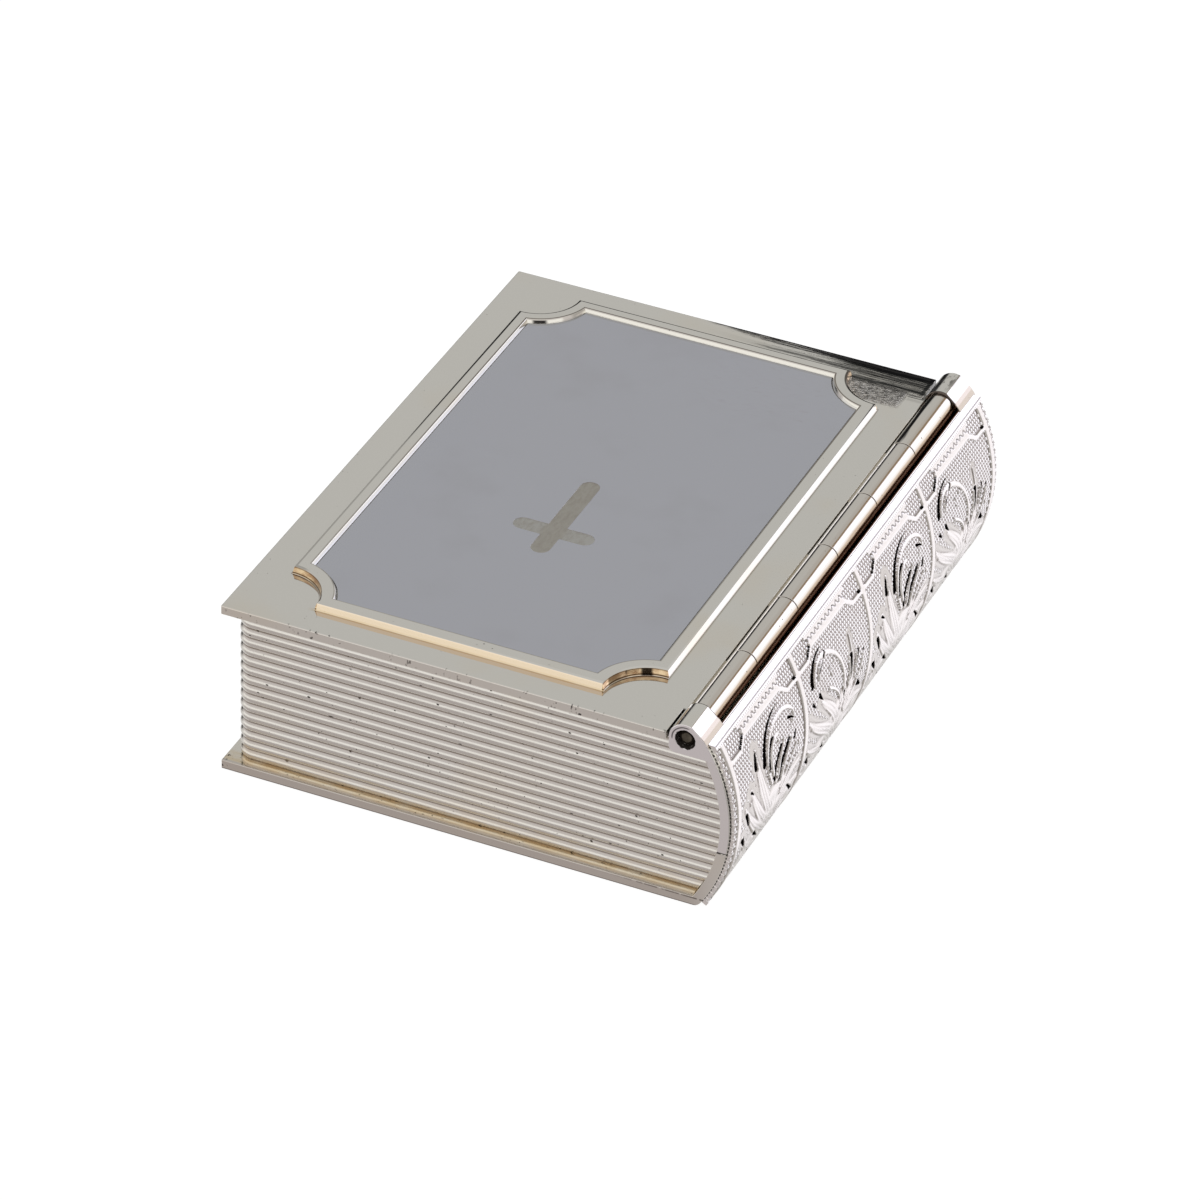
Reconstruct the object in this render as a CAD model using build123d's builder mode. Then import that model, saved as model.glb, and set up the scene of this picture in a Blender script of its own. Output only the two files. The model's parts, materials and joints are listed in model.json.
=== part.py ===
"""Book-shaped keepsake box in plated metal: a shell of covers, pages and spine, and a hinged front cover.

Frame: +Z up, +Y from the head of the book to its tail, +X from the fore-edge to the spine.
The origin is the middle of the box's footprint, on the surface that it lies on. Millimetres.
"""
import os
from build123d import *

os.makedirs("parts", exist_ok=True)

# ---------------------------------------------------------------- driving dimensions
cover_length = 75.0          # head to tail
hinge_from_fore = 53.25      # fore-edge to the hinge axis
cover_thickness = 1.1
cover_corner_radius = 0.35   # upright corners of both covers
cover_edge_radius = 0.15     # worn rounding along the covers' edges
page_height = 18.75
lid_rest_gap = 0.1           # air between the pages' top and the closed lid

spine_reach = 5.35           # hinge axis to the outermost line of the spine shell
spine_radius = 18.9          # outside of the spine shell
band_thickness = 1.1         # wall of the spine shell and of the back cover's curl
curl_height = 7.6            # the back cover's curl meets the spine shell here
foot_radius = 1.0            # outer bottom corner, where the cover turns up into the curl

panel_thickness = 0.4        # embossed plate on the spine, without its relief
panel_relief = 0.25          # dividers and borders stand this far out of the plate
panel_end_inset = 0.35       # plate's ends to the covers' ends
panel_foot_rise = 0.5        # lower edge of the plate above the table
divider_count = 5
divider_width = 0.9
divider_end_inset = 1.55     # first divider's middle from the covers' end
border_height = 0.7          # strips along the plate's upper and lower edges

page_inset = 1.25            # crest of the reeds to the covers' head and tail edges
fore_page_inset = 0.95       # crest of the reeds to the covers' fore-edge
reed_depth = 0.3
reed_count = 15
reed_crest_share = 0.94      # part of each reed's pitch that its crest takes
top_strip = 0.65             # plain strip above the reeds
reed_skin = 0.2              # the reeded skin overlaps the plain walls by this much
page_wall = 1.1              # from the grooves to the inside
page_corner_radius = 1.6     # grooves round the upright corners
back_wall = 1.2              # plain wall beside the spine
solder_gap = 0.05            # film between the pages and what they are soldered to

hinge_below_lid_top = 0.4
barrel_radius = 1.55
pin_radius = 0.9
pin_recess = 0.45            # pin's ends below the ears' faces
pin_end_chamfer = 0.15
pin_running_clearance = 0.05
pin_seat_clearance = 0.02
knuckle_count = 6
knuckle_slit = 0.12
leaf_thickness = 0.5
lid_leaf_width = 6.0
body_leaf_depth = 8.0        # how far the body's leaf reaches down the back wall
hinge_gap = 0.2              # lid's edge to the barrel
ear_radius = 1.85
ear_width = 4.35
ear_gap = 0.3                # lid's edge to the ears
ear_mouth_radius = 1.1
ear_mouth_depth = 0.8
ear_foot_drop = 1.95         # underside of the ear below the hinge axis
ear_foot_radius = 0.8
ear_root_radius = 0.12       # rounding where the ear runs out into the spine band
ear_root_depth = 0.15        # depth of that rounding's middle under the band's skin
lip_drop = 0.05              # spine's upper lip below the hinge axis
lip_clearance_radius = 2.1   # the lip is hollowed this far from the hinge axis

frame_middle_from_fore = 25.8
frame_half_width = 21.55     # outside of the raised frame's top
frame_half_length = 33.65
frame_scoop_radius = 5.1     # scooped corners of the frame
frame_height = 0.92
frame_draft = 0.2            # the frame's foot stands this far out of its top
frame_band = 1.55            # flat top and inner rounding together
frame_inner_radius = 0.15

plate_thickness = 0.45
plate_seam = 0.15            # groove round the engraving plate
cross_bar_width = 2.2
cross_upright = 15.0
cross_arm_span = 9.4
cross_arm_from_head = 4.45   # middle of the arms from the upright's head end
cross_foot_from_middle = 0.85  # foot end of the upright past the plate's middle
engraving_depth = 0.05

lining_thickness = 1.0
lining_drop = 0.6            # linings end this far below the pages' top
floor_pad_thickness = 1.5
floor_pad_clearance = 0.1
lid_pad_thickness = 1.2
lid_pad_clearance = 0.6

# ---------------------------------------------------------------- derived places
overall_width = hinge_from_fore + spine_reach + panel_thickness + panel_relief
fore_x = -overall_width / 2
end_y = cover_length / 2
hinge_x = fore_x + hinge_from_fore
spine_axis_x = hinge_x + spine_reach - spine_radius

page_top = cover_thickness + page_height
lid_underside = page_top + lid_rest_gap
lid_top = lid_underside + cover_thickness
hinge_z = lid_top - hinge_below_lid_top
spine_axis_z = lid_top / 2
lip_z = hinge_z - lip_drop

reed_pitch = (page_height - top_strip) / reed_count
groove_x = fore_x + fore_page_inset + reed_depth
groove_y = end_y - page_inset - reed_depth
cavity_x_min = groove_x + page_wall
cavity_y = groove_y - page_wall
back_wall_outside = hinge_x - barrel_radius
cavity_x_max = back_wall_outside - back_wall

barrel_length = cover_length - 2 * ear_width
knuckle_pitch = barrel_length / knuckle_count
lid_edge_at_barrel = hinge_x - barrel_radius - hinge_gap
lid_edge_at_ears = hinge_x - ear_radius - ear_gap
far_out = cover_length + overall_width   # longer than anything here, for cuts that run right through


def from_minus_y(y):
    """Section plane across the book at this Y. An extrusion from it runs towards -Y."""
    return Plane.XZ.offset(-y)


def rectangle_between(x_min, x_max, y_min, y_max, mode=Mode.ADD):
    """Axis-aligned rectangle of a sketch, given by its edges."""
    with Locations(((x_min + x_max) / 2, (y_min + y_max) / 2)):
        Rectangle(x_max - x_min, y_max - y_min, mode=mode)


def spine_ring(inner_radius, outer_radius, z_min, z_max):
    """Stretch of the spine's curved band between two heights, drawn in an XZ sketch."""
    with Locations((spine_axis_x, spine_axis_z)):
        Circle(outer_radius)
        Circle(inner_radius, mode=Mode.SUBTRACT)
    rectangle_between(spine_axis_x, spine_axis_x + far_out, z_min, z_max, mode=Mode.INTERSECT)


def scalloped_outline(inset):
    """Frame outline with scooped corners, moved in by a distance, about the frame's middle."""
    with Locations((fore_x + frame_middle_from_fore, 0)):
        Rectangle(2 * (frame_half_width - inset), 2 * (frame_half_length - inset))
        with GridLocations(2 * frame_half_width, 2 * frame_half_length, 2, 2):
            Circle(frame_scoop_radius + inset, mode=Mode.SUBTRACT)


def knuckle_span(index):
    """Ends in Y of one knuckle, counted from the head."""
    start = -barrel_length / 2 + index * knuckle_pitch
    return start + knuckle_slit / 2, start + knuckle_pitch - knuckle_slit / 2


def finish(part, name):
    """Label a finished piece and write it."""
    part.label = name
    export_step(part, f"parts/{name}.step")


# ---------------------------------------------------------------- back cover
board_inner_end = spine_axis_x + ((spine_radius - band_thickness) ** 2
                                  - (spine_axis_z - cover_thickness) ** 2) ** 0.5

with BuildPart() as back_cover:
    with BuildSketch(Plane.XZ) as board_section:
        spine_ring(spine_radius - band_thickness, spine_radius, 0, curl_height)
        rectangle_between(fore_x, board_inner_end, 0, cover_thickness)
        fillet(board_section.vertices().group_by(Axis.Y)[0].sort_by(Axis.X)[-1], foot_radius)
    extrude(amount=end_y, both=True)
    fillet(back_cover.edges().filter_by(Axis.Z).group_by(Axis.X)[0], cover_corner_radius)
    fillet(back_cover.faces().sort_by(Axis.Z)[0].edges().group_by(Axis.X)[0], cover_edge_radius)
finish(back_cover.part, "back_cover")

# ---------------------------------------------------------------- pages
ear_zone_x = hinge_x - ear_radius - solder_gap
ear_zone_z = hinge_z - ear_foot_drop - solder_gap
ear_zone_y = end_y - ear_width - solder_gap

with BuildPart() as page_block:
    with BuildSketch(Plane.XY.offset(cover_thickness)):
        rectangle_between(groove_x + reed_skin / 2, spine_axis_x + spine_radius,
                          -groove_y + reed_skin / 2, groove_y - reed_skin / 2)
    extrude(amount=page_height)
    fillet(page_block.edges().filter_by(Axis.Z).group_by(Axis.X)[0], page_corner_radius - reed_skin / 2)

    with BuildLine(Plane.XY.offset(cover_thickness)) as groove_path:
        FilletPolyline((spine_axis_x + spine_radius, -groove_y), (groove_x, -groove_y),
                       (groove_x, groove_y), (spine_axis_x + spine_radius, groove_y),
                       radius=page_corner_radius)
    with BuildSketch(Plane(origin=groove_path.line @ 0, x_dir=(0, -1, 0), z_dir=(-1, 0, 0))) as reed_section:
        with BuildLine():
            crest_margin = reed_pitch * (1 - reed_crest_share) / 2
            for reed in range(reed_count):
                foot = reed * reed_pitch
                head = foot + reed_pitch
                crest_foot = (0, foot + crest_margin)
                crest_head = (0, head - crest_margin)
                Line((0, foot), crest_foot)
                ThreePointArc(crest_foot, (reed_depth, (foot + head) / 2), crest_head)
                Line(crest_head, (0, head))
            Polyline((0, reed_count * reed_pitch), (0, page_height), (-reed_skin, page_height),
                     (-reed_skin, 0), (0, 0))
        make_face()
    sweep(path=groove_path.line)

    with BuildSketch(Plane.XY.offset(cover_thickness)):
        rectangle_between(cavity_x_min, cavity_x_max, -cavity_y, cavity_y)
        rectangle_between(back_wall_outside, spine_axis_x + far_out, -cavity_y, cavity_y)
    extrude(amount=page_height, mode=Mode.SUBTRACT)

    with BuildSketch(Plane.XZ):
        rectangle_between(spine_axis_x, spine_axis_x + far_out, 0, lid_top)
        with Locations((spine_axis_x, spine_axis_z)):
            Circle(spine_radius - band_thickness - solder_gap, mode=Mode.SUBTRACT)
    extrude(amount=far_out, both=True, mode=Mode.SUBTRACT)

    for y_far in (end_y, -ear_zone_y):
        with BuildSketch(from_minus_y(y_far)):
            rectangle_between(ear_zone_x, ear_zone_x + far_out, ear_zone_z, lid_top)
        extrude(amount=end_y - ear_zone_y, mode=Mode.SUBTRACT)
finish(page_block.part, "page_block")

# ---------------------------------------------------------------- spine shell with its hinge ears
ear_root_heights = (lip_z - ear_root_depth, hinge_z - ear_foot_drop + ear_root_radius)

with BuildPart() as spine_shell:
    with BuildSketch(Plane.XZ):
        spine_ring(spine_radius - band_thickness, spine_radius, curl_height, lip_z)
        with Locations((hinge_x, hinge_z)):
            Circle(lip_clearance_radius, mode=Mode.SUBTRACT)
    extrude(amount=end_y, both=True)
    for y_far in (end_y, -end_y + ear_width):
        with BuildSketch(from_minus_y(y_far)) as ear_section:
            with Locations((hinge_x, hinge_z)):
                Circle(ear_radius)
            for root_z in ear_root_heights:
                root_reach = ((spine_radius - ear_root_depth) ** 2 - (root_z - spine_axis_z) ** 2) ** 0.5
                with Locations((spine_axis_x + root_reach, root_z)):
                    Circle(ear_root_radius)
            with Locations((hinge_x - ear_radius + ear_foot_radius, hinge_z - ear_foot_drop + ear_foot_radius)):
                Circle(ear_foot_radius)
            make_hull()
        extrude(amount=ear_width)
    with BuildSketch(from_minus_y(end_y)):
        with Locations((hinge_x, hinge_z)):
            Circle(pin_radius + pin_seat_clearance)
    extrude(amount=cover_length, mode=Mode.SUBTRACT)
    for y_far in (end_y, -end_y + ear_mouth_depth):
        with BuildSketch(from_minus_y(y_far)):
            with Locations((hinge_x, hinge_z)):
                Circle(ear_mouth_radius)
        extrude(amount=ear_mouth_depth, mode=Mode.SUBTRACT)
finish(spine_shell.part, "spine_shell")

# ---------------------------------------------------------------- embossed panel on the spine
panel_half_length = end_y - panel_end_inset
divider_pitch = (cover_length - 2 * divider_end_inset) / (divider_count - 1)
relief_radius = spine_radius + panel_thickness + panel_relief

with BuildPart() as spine_panel:
    with BuildSketch(Plane.XZ):
        spine_ring(spine_radius, spine_radius + panel_thickness, panel_foot_rise, lip_z)
    extrude(amount=panel_half_length, both=True)
    with BuildSketch(Plane.XZ):
        spine_ring(spine_radius, relief_radius, panel_foot_rise, panel_foot_rise + border_height)
    extrude(amount=panel_half_length, both=True)
    with BuildSketch(Plane.XZ):
        spine_ring(spine_radius, relief_radius, lip_z - border_height, lip_z)
    extrude(amount=panel_half_length, both=True)
    for divider in range(divider_count):
        middle_y = -end_y + divider_end_inset + divider * divider_pitch
        with BuildSketch(from_minus_y(middle_y + divider_width / 2)):
            spine_ring(spine_radius, relief_radius, panel_foot_rise, lip_z)
        extrude(amount=divider_width)
finish(spine_panel.part, "spine_panel")

# ---------------------------------------------------------------- hinge
leaf_end_y = barrel_length / 2 - knuckle_slit / 2


def knuckle(index, leaf_edges):
    """Rolled knuckle and the tongue that joins it to its leaf, as (x_min, x_max, z_min, z_max)."""
    y_near, y_far = knuckle_span(index)
    with BuildSketch(from_minus_y(y_far)) as roll:
        with Locations((hinge_x, hinge_z)):
            Circle(barrel_radius)
        rectangle_between(*leaf_edges)
        with Locations((hinge_x, hinge_z)):
            Circle(pin_radius + pin_running_clearance, mode=Mode.SUBTRACT)
    extrude(roll.sketch, amount=y_far - y_near)


body_leaf_top = hinge_z - barrel_radius - ear_gap
with BuildPart() as body_hinge_leaf:
    with BuildSketch(from_minus_y(leaf_end_y)):
        rectangle_between(back_wall_outside, back_wall_outside + leaf_thickness,
                          body_leaf_top - body_leaf_depth, body_leaf_top)
    extrude(amount=2 * leaf_end_y)
    for index in range(1, knuckle_count, 2):
        knuckle(index, (back_wall_outside, back_wall_outside + leaf_thickness, body_leaf_top, hinge_z))
finish(body_hinge_leaf.part, "body_hinge_leaf")

lid_tongue_end = hinge_x - (barrel_radius + pin_radius) / 2
with BuildPart() as lid_hinge_leaf:
    with BuildSketch(from_minus_y(leaf_end_y)):
        rectangle_between(lid_edge_at_barrel - lid_leaf_width, lid_edge_at_barrel,
                          lid_underside, lid_underside + leaf_thickness)
    extrude(amount=2 * leaf_end_y)
    for index in range(0, knuckle_count, 2):
        knuckle(index, (lid_edge_at_barrel, lid_tongue_end, lid_underside, lid_underside + leaf_thickness))
finish(lid_hinge_leaf.part, "lid_hinge_leaf")

with BuildPart() as hinge_pin:
    with BuildSketch(from_minus_y(end_y - pin_recess)):
        with Locations((hinge_x, hinge_z)):
            Circle(pin_radius)
    extrude(amount=cover_length - 2 * pin_recess)
    chamfer(hinge_pin.edges().filter_by(GeomType.CIRCLE), pin_end_chamfer)
finish(hinge_pin.part, "hinge_pin")

# ---------------------------------------------------------------- front cover
with BuildPart() as front_cover:
    with BuildSketch(Plane.XY.offset(lid_underside)):
        rectangle_between(fore_x, lid_edge_at_ears, -end_y, end_y)
        rectangle_between(lid_edge_at_ears, lid_edge_at_barrel, -leaf_end_y, leaf_end_y)
    extrude(amount=cover_thickness)
    fillet(front_cover.edges().filter_by(Axis.Z).group_by(Axis.X)[0], cover_corner_radius)
    outer_rims = (front_cover.faces().sort_by(Axis.Z)[-1].edges()
                  + front_cover.faces().sort_by(Axis.Z)[0].edges())
    fillet(outer_rims.filter_by(lambda edge: edge.center().X < lid_edge_at_ears - hinge_gap), cover_edge_radius)

    with BuildSketch(Plane.XY.offset(lid_top)) as frame_foot:
        scalloped_outline(-frame_draft)
    with BuildSketch(Plane.XY.offset(lid_top + frame_height)) as frame_top:
        scalloped_outline(0)
    loft()
    with BuildSketch(Plane.XY.offset(lid_top)):
        scalloped_outline(frame_band)
    extrude(amount=frame_height, mode=Mode.SUBTRACT)
    inner_rim = (front_cover.faces().sort_by(Axis.Z)[-1].inner_wires()[0]).edges()
    fillet(inner_rim, frame_inner_radius)

    with BuildSketch(Plane.XY.offset(lid_underside)):
        rectangle_between(lid_edge_at_barrel - lid_leaf_width, lid_edge_at_barrel, -leaf_end_y, leaf_end_y)
    extrude(amount=leaf_thickness, mode=Mode.SUBTRACT)
finish(front_cover.part, "front_cover")

# ---------------------------------------------------------------- engraving plate
frame_middle_x = fore_x + frame_middle_from_fore
cross_head_y = cross_foot_from_middle - cross_upright
cross_arm_y = cross_head_y + cross_arm_from_head

with BuildPart() as engraving_plate:
    with BuildSketch(Plane.XY.offset(lid_top)):
        scalloped_outline(frame_band + plate_seam)
    extrude(amount=plate_thickness)
    with BuildSketch(Plane.XY.offset(lid_top + plate_thickness - engraving_depth)):
        with Locations((frame_middle_x, cross_foot_from_middle - cross_upright / 2)):
            SlotOverall(cross_upright, cross_bar_width, rotation=90)
        with Locations((frame_middle_x, cross_arm_y)):
            SlotOverall(cross_arm_span, cross_bar_width)
    extrude(amount=engraving_depth, mode=Mode.SUBTRACT)
finish(engraving_plate.part, "engraving_plate")

# ---------------------------------------------------------------- linings
lining_top = page_top - lining_drop
lined_x_min = cavity_x_min + lining_thickness
lined_x_max = cavity_x_max - lining_thickness
lined_y = cavity_y - lining_thickness


def lining_card(name, x_min, x_max, y_min, y_max, z_min, z_max):
    """Flat velvet-covered card between two corners."""
    with BuildPart() as card:
        with BuildSketch(Plane.XY.offset(z_min)):
            rectangle_between(x_min, x_max, y_min, y_max)
        extrude(amount=z_max - z_min)
    finish(card.part, name)
    return card


head_lining = lining_card("head_lining", cavity_x_min, cavity_x_max, -cavity_y, -lined_y,
                          cover_thickness, lining_top)
tail_lining = lining_card("tail_lining", cavity_x_min, cavity_x_max, lined_y, cavity_y,
                          cover_thickness, lining_top)
fore_edge_lining = lining_card("fore_edge_lining", cavity_x_min, lined_x_min, -lined_y, lined_y,
                               cover_thickness, lining_top)
spine_lining = lining_card("spine_lining", lined_x_max, cavity_x_max, -lined_y, lined_y,
                           cover_thickness, lining_top)
floor_pad = lining_card("floor_pad", lined_x_min + floor_pad_clearance, lined_x_max - floor_pad_clearance,
                        -lined_y + floor_pad_clearance, lined_y - floor_pad_clearance,
                        cover_thickness, cover_thickness + floor_pad_thickness)
lid_pad = lining_card("lid_pad", lined_x_min + lid_pad_clearance, lined_x_max - lid_pad_clearance,
                      -lined_y + lid_pad_clearance, lined_y - lid_pad_clearance,
                      lid_underside - lid_pad_thickness, lid_underside)
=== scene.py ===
# %% [markdown]
# # A book-shaped keepsake box in silver plate
# The packed model is the frame of this scene: it says where every piece is and how it moves. This
# notebook gives each piece its real surface. Lengths are in millimetres until a mesh is made, because the
# whole box is only 75 mm long and millimetres keep the numbers readable.

# %% Load the frame
import json
import math

import bmesh
import bpy
import numpy as np
from mathutils import Matrix, Vector


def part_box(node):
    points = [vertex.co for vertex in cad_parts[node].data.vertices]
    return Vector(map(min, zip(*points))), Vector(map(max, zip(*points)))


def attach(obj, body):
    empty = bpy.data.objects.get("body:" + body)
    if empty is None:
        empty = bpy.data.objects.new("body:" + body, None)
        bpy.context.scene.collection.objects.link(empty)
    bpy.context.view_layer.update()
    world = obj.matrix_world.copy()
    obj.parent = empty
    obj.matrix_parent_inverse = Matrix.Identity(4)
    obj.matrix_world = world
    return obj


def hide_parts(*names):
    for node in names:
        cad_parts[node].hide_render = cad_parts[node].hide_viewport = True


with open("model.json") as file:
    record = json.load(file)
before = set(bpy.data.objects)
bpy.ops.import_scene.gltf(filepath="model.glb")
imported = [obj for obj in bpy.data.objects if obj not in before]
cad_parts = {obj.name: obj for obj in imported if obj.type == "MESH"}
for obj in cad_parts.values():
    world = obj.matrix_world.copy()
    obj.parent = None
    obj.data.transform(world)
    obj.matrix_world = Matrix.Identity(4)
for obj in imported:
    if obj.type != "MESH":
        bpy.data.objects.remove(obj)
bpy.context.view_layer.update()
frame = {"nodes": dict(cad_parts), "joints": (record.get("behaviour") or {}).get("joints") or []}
MM = 0.001


def node_box(node):
    """Lowest and highest corner of one node of the frame, in millimetres."""
    low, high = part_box(node)
    return np.array(low) / MM, np.array(high) / MM


print("nodes:", sorted(frame["nodes"]))

# %% [markdown]
# ## The places that the pieces share
# A maker works from a few reference lines: the hinge's axis, the faces of the two covers and the curve of
# the spine. All but a few of them can be read from the frame, so that the looks follow the model.

# %% Reference lines
lid_hinge = frame["joints"][0]
hinge_x, _, hinge_z = (value / MM for value in lid_hinge["pos_m"])
lid_low, lid_high = node_box("front_cover")
board_low, board_high = node_box("back_cover")
pages_low, pages_high = node_box("page_block")
shell_low, shell_high = node_box("spine_shell")
panel_low, panel_high = node_box("spine_panel")
plate_low, plate_high = node_box("engraving_plate")
pin_low, pin_high = node_box("hinge_pin")
knuckles_low, knuckles_high = node_box("body_hinge_leaf")
tongue_low, tongue_high = node_box("lid_hinge_leaf")

fore_x = board_low[0]
end_y = board_high[1]
cover_thickness = pages_low[2] - board_low[2]
lid_top = lid_low[2] + cover_thickness
barrel_radius = knuckles_high[0] - hinge_x
ear_radius = hinge_x - shell_low[0]
spine_radius = 18.9
band_thickness = 1.1
spine_axis = (shell_high[0] - spine_radius, lid_top / 2)
lip_z = panel_high[2]
curl_height = board_high[2]
print(f"hinge at x {hinge_x:.3f}, z {hinge_z:.3f}; lid top {lid_top:.2f}; barrel radius {barrel_radius:.2f}")

# %% [markdown]
# ## Making meshes
# Nearly all of this box was rolled, drawn or stamped, so its pieces are one section carried along a line.
# Modelling tools could do that by hand. Here a piece is a list of rings with as many points each, and a
# loft joins them. Crisp edges then get a small rounding, which is what catches the light on real metal.

# %% Sections and solids
def arc(centre, radius, start, end, steps):
    """Points round part of a circle, with angles in degrees, anticlockwise from the first axis."""
    turns = [math.radians(start + (end - start) * step / steps) for step in range(steps + 1)]
    return [(centre[0] + radius * math.cos(turn), centre[1] + radius * math.sin(turn)) for turn in turns]


def loft(rings, capped=True, wrapped=False):
    """Points and faces of a skin over rings of equal length, with flat ends, or back round to the first."""
    count = len(rings[0])
    points = [point for ring in rings for point in ring]
    faces = []
    for level in range(len(rings) if wrapped else len(rings) - 1):
        here = level * count
        there = (level + 1) % len(rings) * count
        for place in range(count):
            after = (place + 1) % count
            faces.append((here + place, here + after, there + after, there + place))
    if capped and not wrapped:
        faces.append(tuple(range(count)))
        faces.append(tuple(range(len(points) - count, len(points))))
    return points, faces


def along_book(outline, y_near, y_far):
    """A solid with one (x, z) outline between two places along the book."""
    return loft([[(x, y, z) for x, z in outline] for y in (y_near, y_far)])


def upright(outline, z_low, z_high):
    """A solid with one (x, y) outline between two heights."""
    return loft([[(x, y, z) for x, y in outline] for z in (z_low, z_high)])


def together(*solids):
    """Several solids as one list of points and one of faces."""
    points, faces = [], []
    for solid_points, solid_faces in solids:
        faces += [tuple(len(points) + index for index in face) for face in solid_faces]
        points += list(solid_points)
    return points, faces


print("a square rod:", len(along_book([(0, 0), (1, 0), (1, 1), (0, 1)], 0, 5)[0]), "points")

# %% [markdown]
# ### From points to a piece
# A list of points and faces becomes a mesh, and an object holds the mesh. Boolean and bevel modifiers then
# cut and round it, and their result is written into the mesh at once, so that a piece is nothing but its own
# surface when it gets its finish.

# %% Objects, cuts and rounded edges
def mesh_object(name, solid, crisp=40):
    """An object made from points in millimetres, smooth but for edges sharper than an angle."""
    points, faces = solid
    mesh = bpy.data.meshes.new(name)
    mesh.from_pydata([[value * MM for value in point] for point in points], [], faces)
    work = bmesh.new()
    work.from_mesh(mesh)
    bmesh.ops.remove_doubles(work, verts=work.verts, dist=1e-7)
    bmesh.ops.recalc_face_normals(work, faces=work.faces)
    work.to_mesh(mesh)
    work.free()
    mesh.shade_smooth()
    mesh.set_sharp_from_angle(angle=math.radians(crisp))
    piece = bpy.data.objects.new(name, mesh)
    bpy.context.scene.collection.objects.link(piece)
    return piece


def measured(*pieces):
    """Print how large some pieces are."""
    for piece in pieces:
        points = np.array([tuple(vertex.co) for vertex in piece.data.vertices]) / MM
        print(f"{piece.name}:", " x ".join(f"{side:.2f}" for side in np.ptp(points, axis=0)), "mm")


def finished(piece):
    """Put what an object's modifiers make into its own mesh."""
    seen = piece.evaluated_get(bpy.context.evaluated_depsgraph_get())
    piece.data = bpy.data.meshes.new_from_object(seen)
    piece.modifiers.clear()
    return piece


def cut_out(piece, *solids):
    """Cut solids out of a piece."""
    for solid in solids:
        cutter = mesh_object("cutter", solid)
        cut = piece.modifiers.new("cut", "BOOLEAN")
        cut.operation = "DIFFERENCE"
        cut.object = cutter
        finished(piece)
        bpy.data.objects.remove(cutter)
    return piece


def round_edges(piece, width, segments=2, angle=35):
    """Round every edge that is sharper than an angle, and keep flat faces flat in the shading."""
    for edge in piece.data.edges:
        edge.use_edge_sharp = False
    rounding = piece.modifiers.new("rounding", "BEVEL")
    rounding.width = width * MM
    rounding.segments = segments
    rounding.limit_method = "ANGLE"
    rounding.angle_limit = math.radians(angle)
    rounding.harden_normals = True
    rounding.use_clamp_overlap = True
    return finished(piece)


def fit(piece, node, body, finish):
    """Put a piece in its node's place, on the body that it moves with."""
    piece.data.materials.clear()
    piece.data.materials.append(finish)
    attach(piece, body)
    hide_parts(node)
    print(f"{piece.name}: {len(piece.data.vertices)} points, {len(piece.data.polygons)} faces")
    return piece


# %% [markdown]
# ## Writing finishes as sums
# A finish is built from masks: where it is pitted, tarnished or rubbed bright. In the node editor each
# sum is a chain of Math nodes. A small class lets the same chain be written as an expression.

# %% Shader sums
class Field:
    """A value that varies over a surface: one output socket of a node tree."""

    def __init__(self, socket):
        self.socket = socket

    def sum_with(self, operation, first, second):
        made = self.socket.id_data.nodes.new("ShaderNodeMath")
        made.operation = operation
        for place, value in enumerate((first, second)):
            connect(value, made.inputs[place])
        return Field(made.outputs[0])

    def __add__(self, other):
        return self.sum_with("ADD", self, other)

    def __sub__(self, other):
        return self.sum_with("SUBTRACT", self, other)

    def __mul__(self, other):
        return self.sum_with("MULTIPLY", self, other)

    def __rsub__(self, other):
        return self.sum_with("SUBTRACT", other, self)

    __radd__ = __add__
    __rmul__ = __mul__

    def wider(self, other):
        """The larger of two masks."""
        return self.sum_with("MAXIMUM", self, other)

    def narrower(self, other):
        """The smaller of two values."""
        return self.sum_with("MINIMUM", self, other)

    def root(self):
        """The square root."""
        return self.sum_with("SQRT", self, 0)

    def absolute(self):
        """The value without its sign."""
        return self.sum_with("ABSOLUTE", self, 0)

    def cosine(self):
        """The cosine of an angle in radians."""
        return self.sum_with("COSINE", self, 0)

    def turn_with(self, across):
        """The angle of a direction that goes this far up and another value across, in radians."""
        return self.sum_with("ARCTAN2", self, across)


print("beside + - and *, a field knows:", [name for name in vars(Field) if not name.startswith("_")])


def connect(value, socket):
    """Link a field to a socket, or set the socket to a plain value."""
    if isinstance(value, Field):
        socket.id_data.links.new(value.socket, socket)
    elif socket.type == "RGBA" and len(value) == 3:
        socket.default_value = (*value, 1)
    else:
        socket.default_value = value


# %% [markdown]
# ### One tree, one finish
# The other nodes come from one method that is told a node's type, its settings and what goes into its
# sockets. A finish is built up in layers as a maker would: a colour, stains over it, and small bends of
# the surface. So the tree keeps the colour and the normal that it has reached, and each layer goes on top
# of them.

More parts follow.
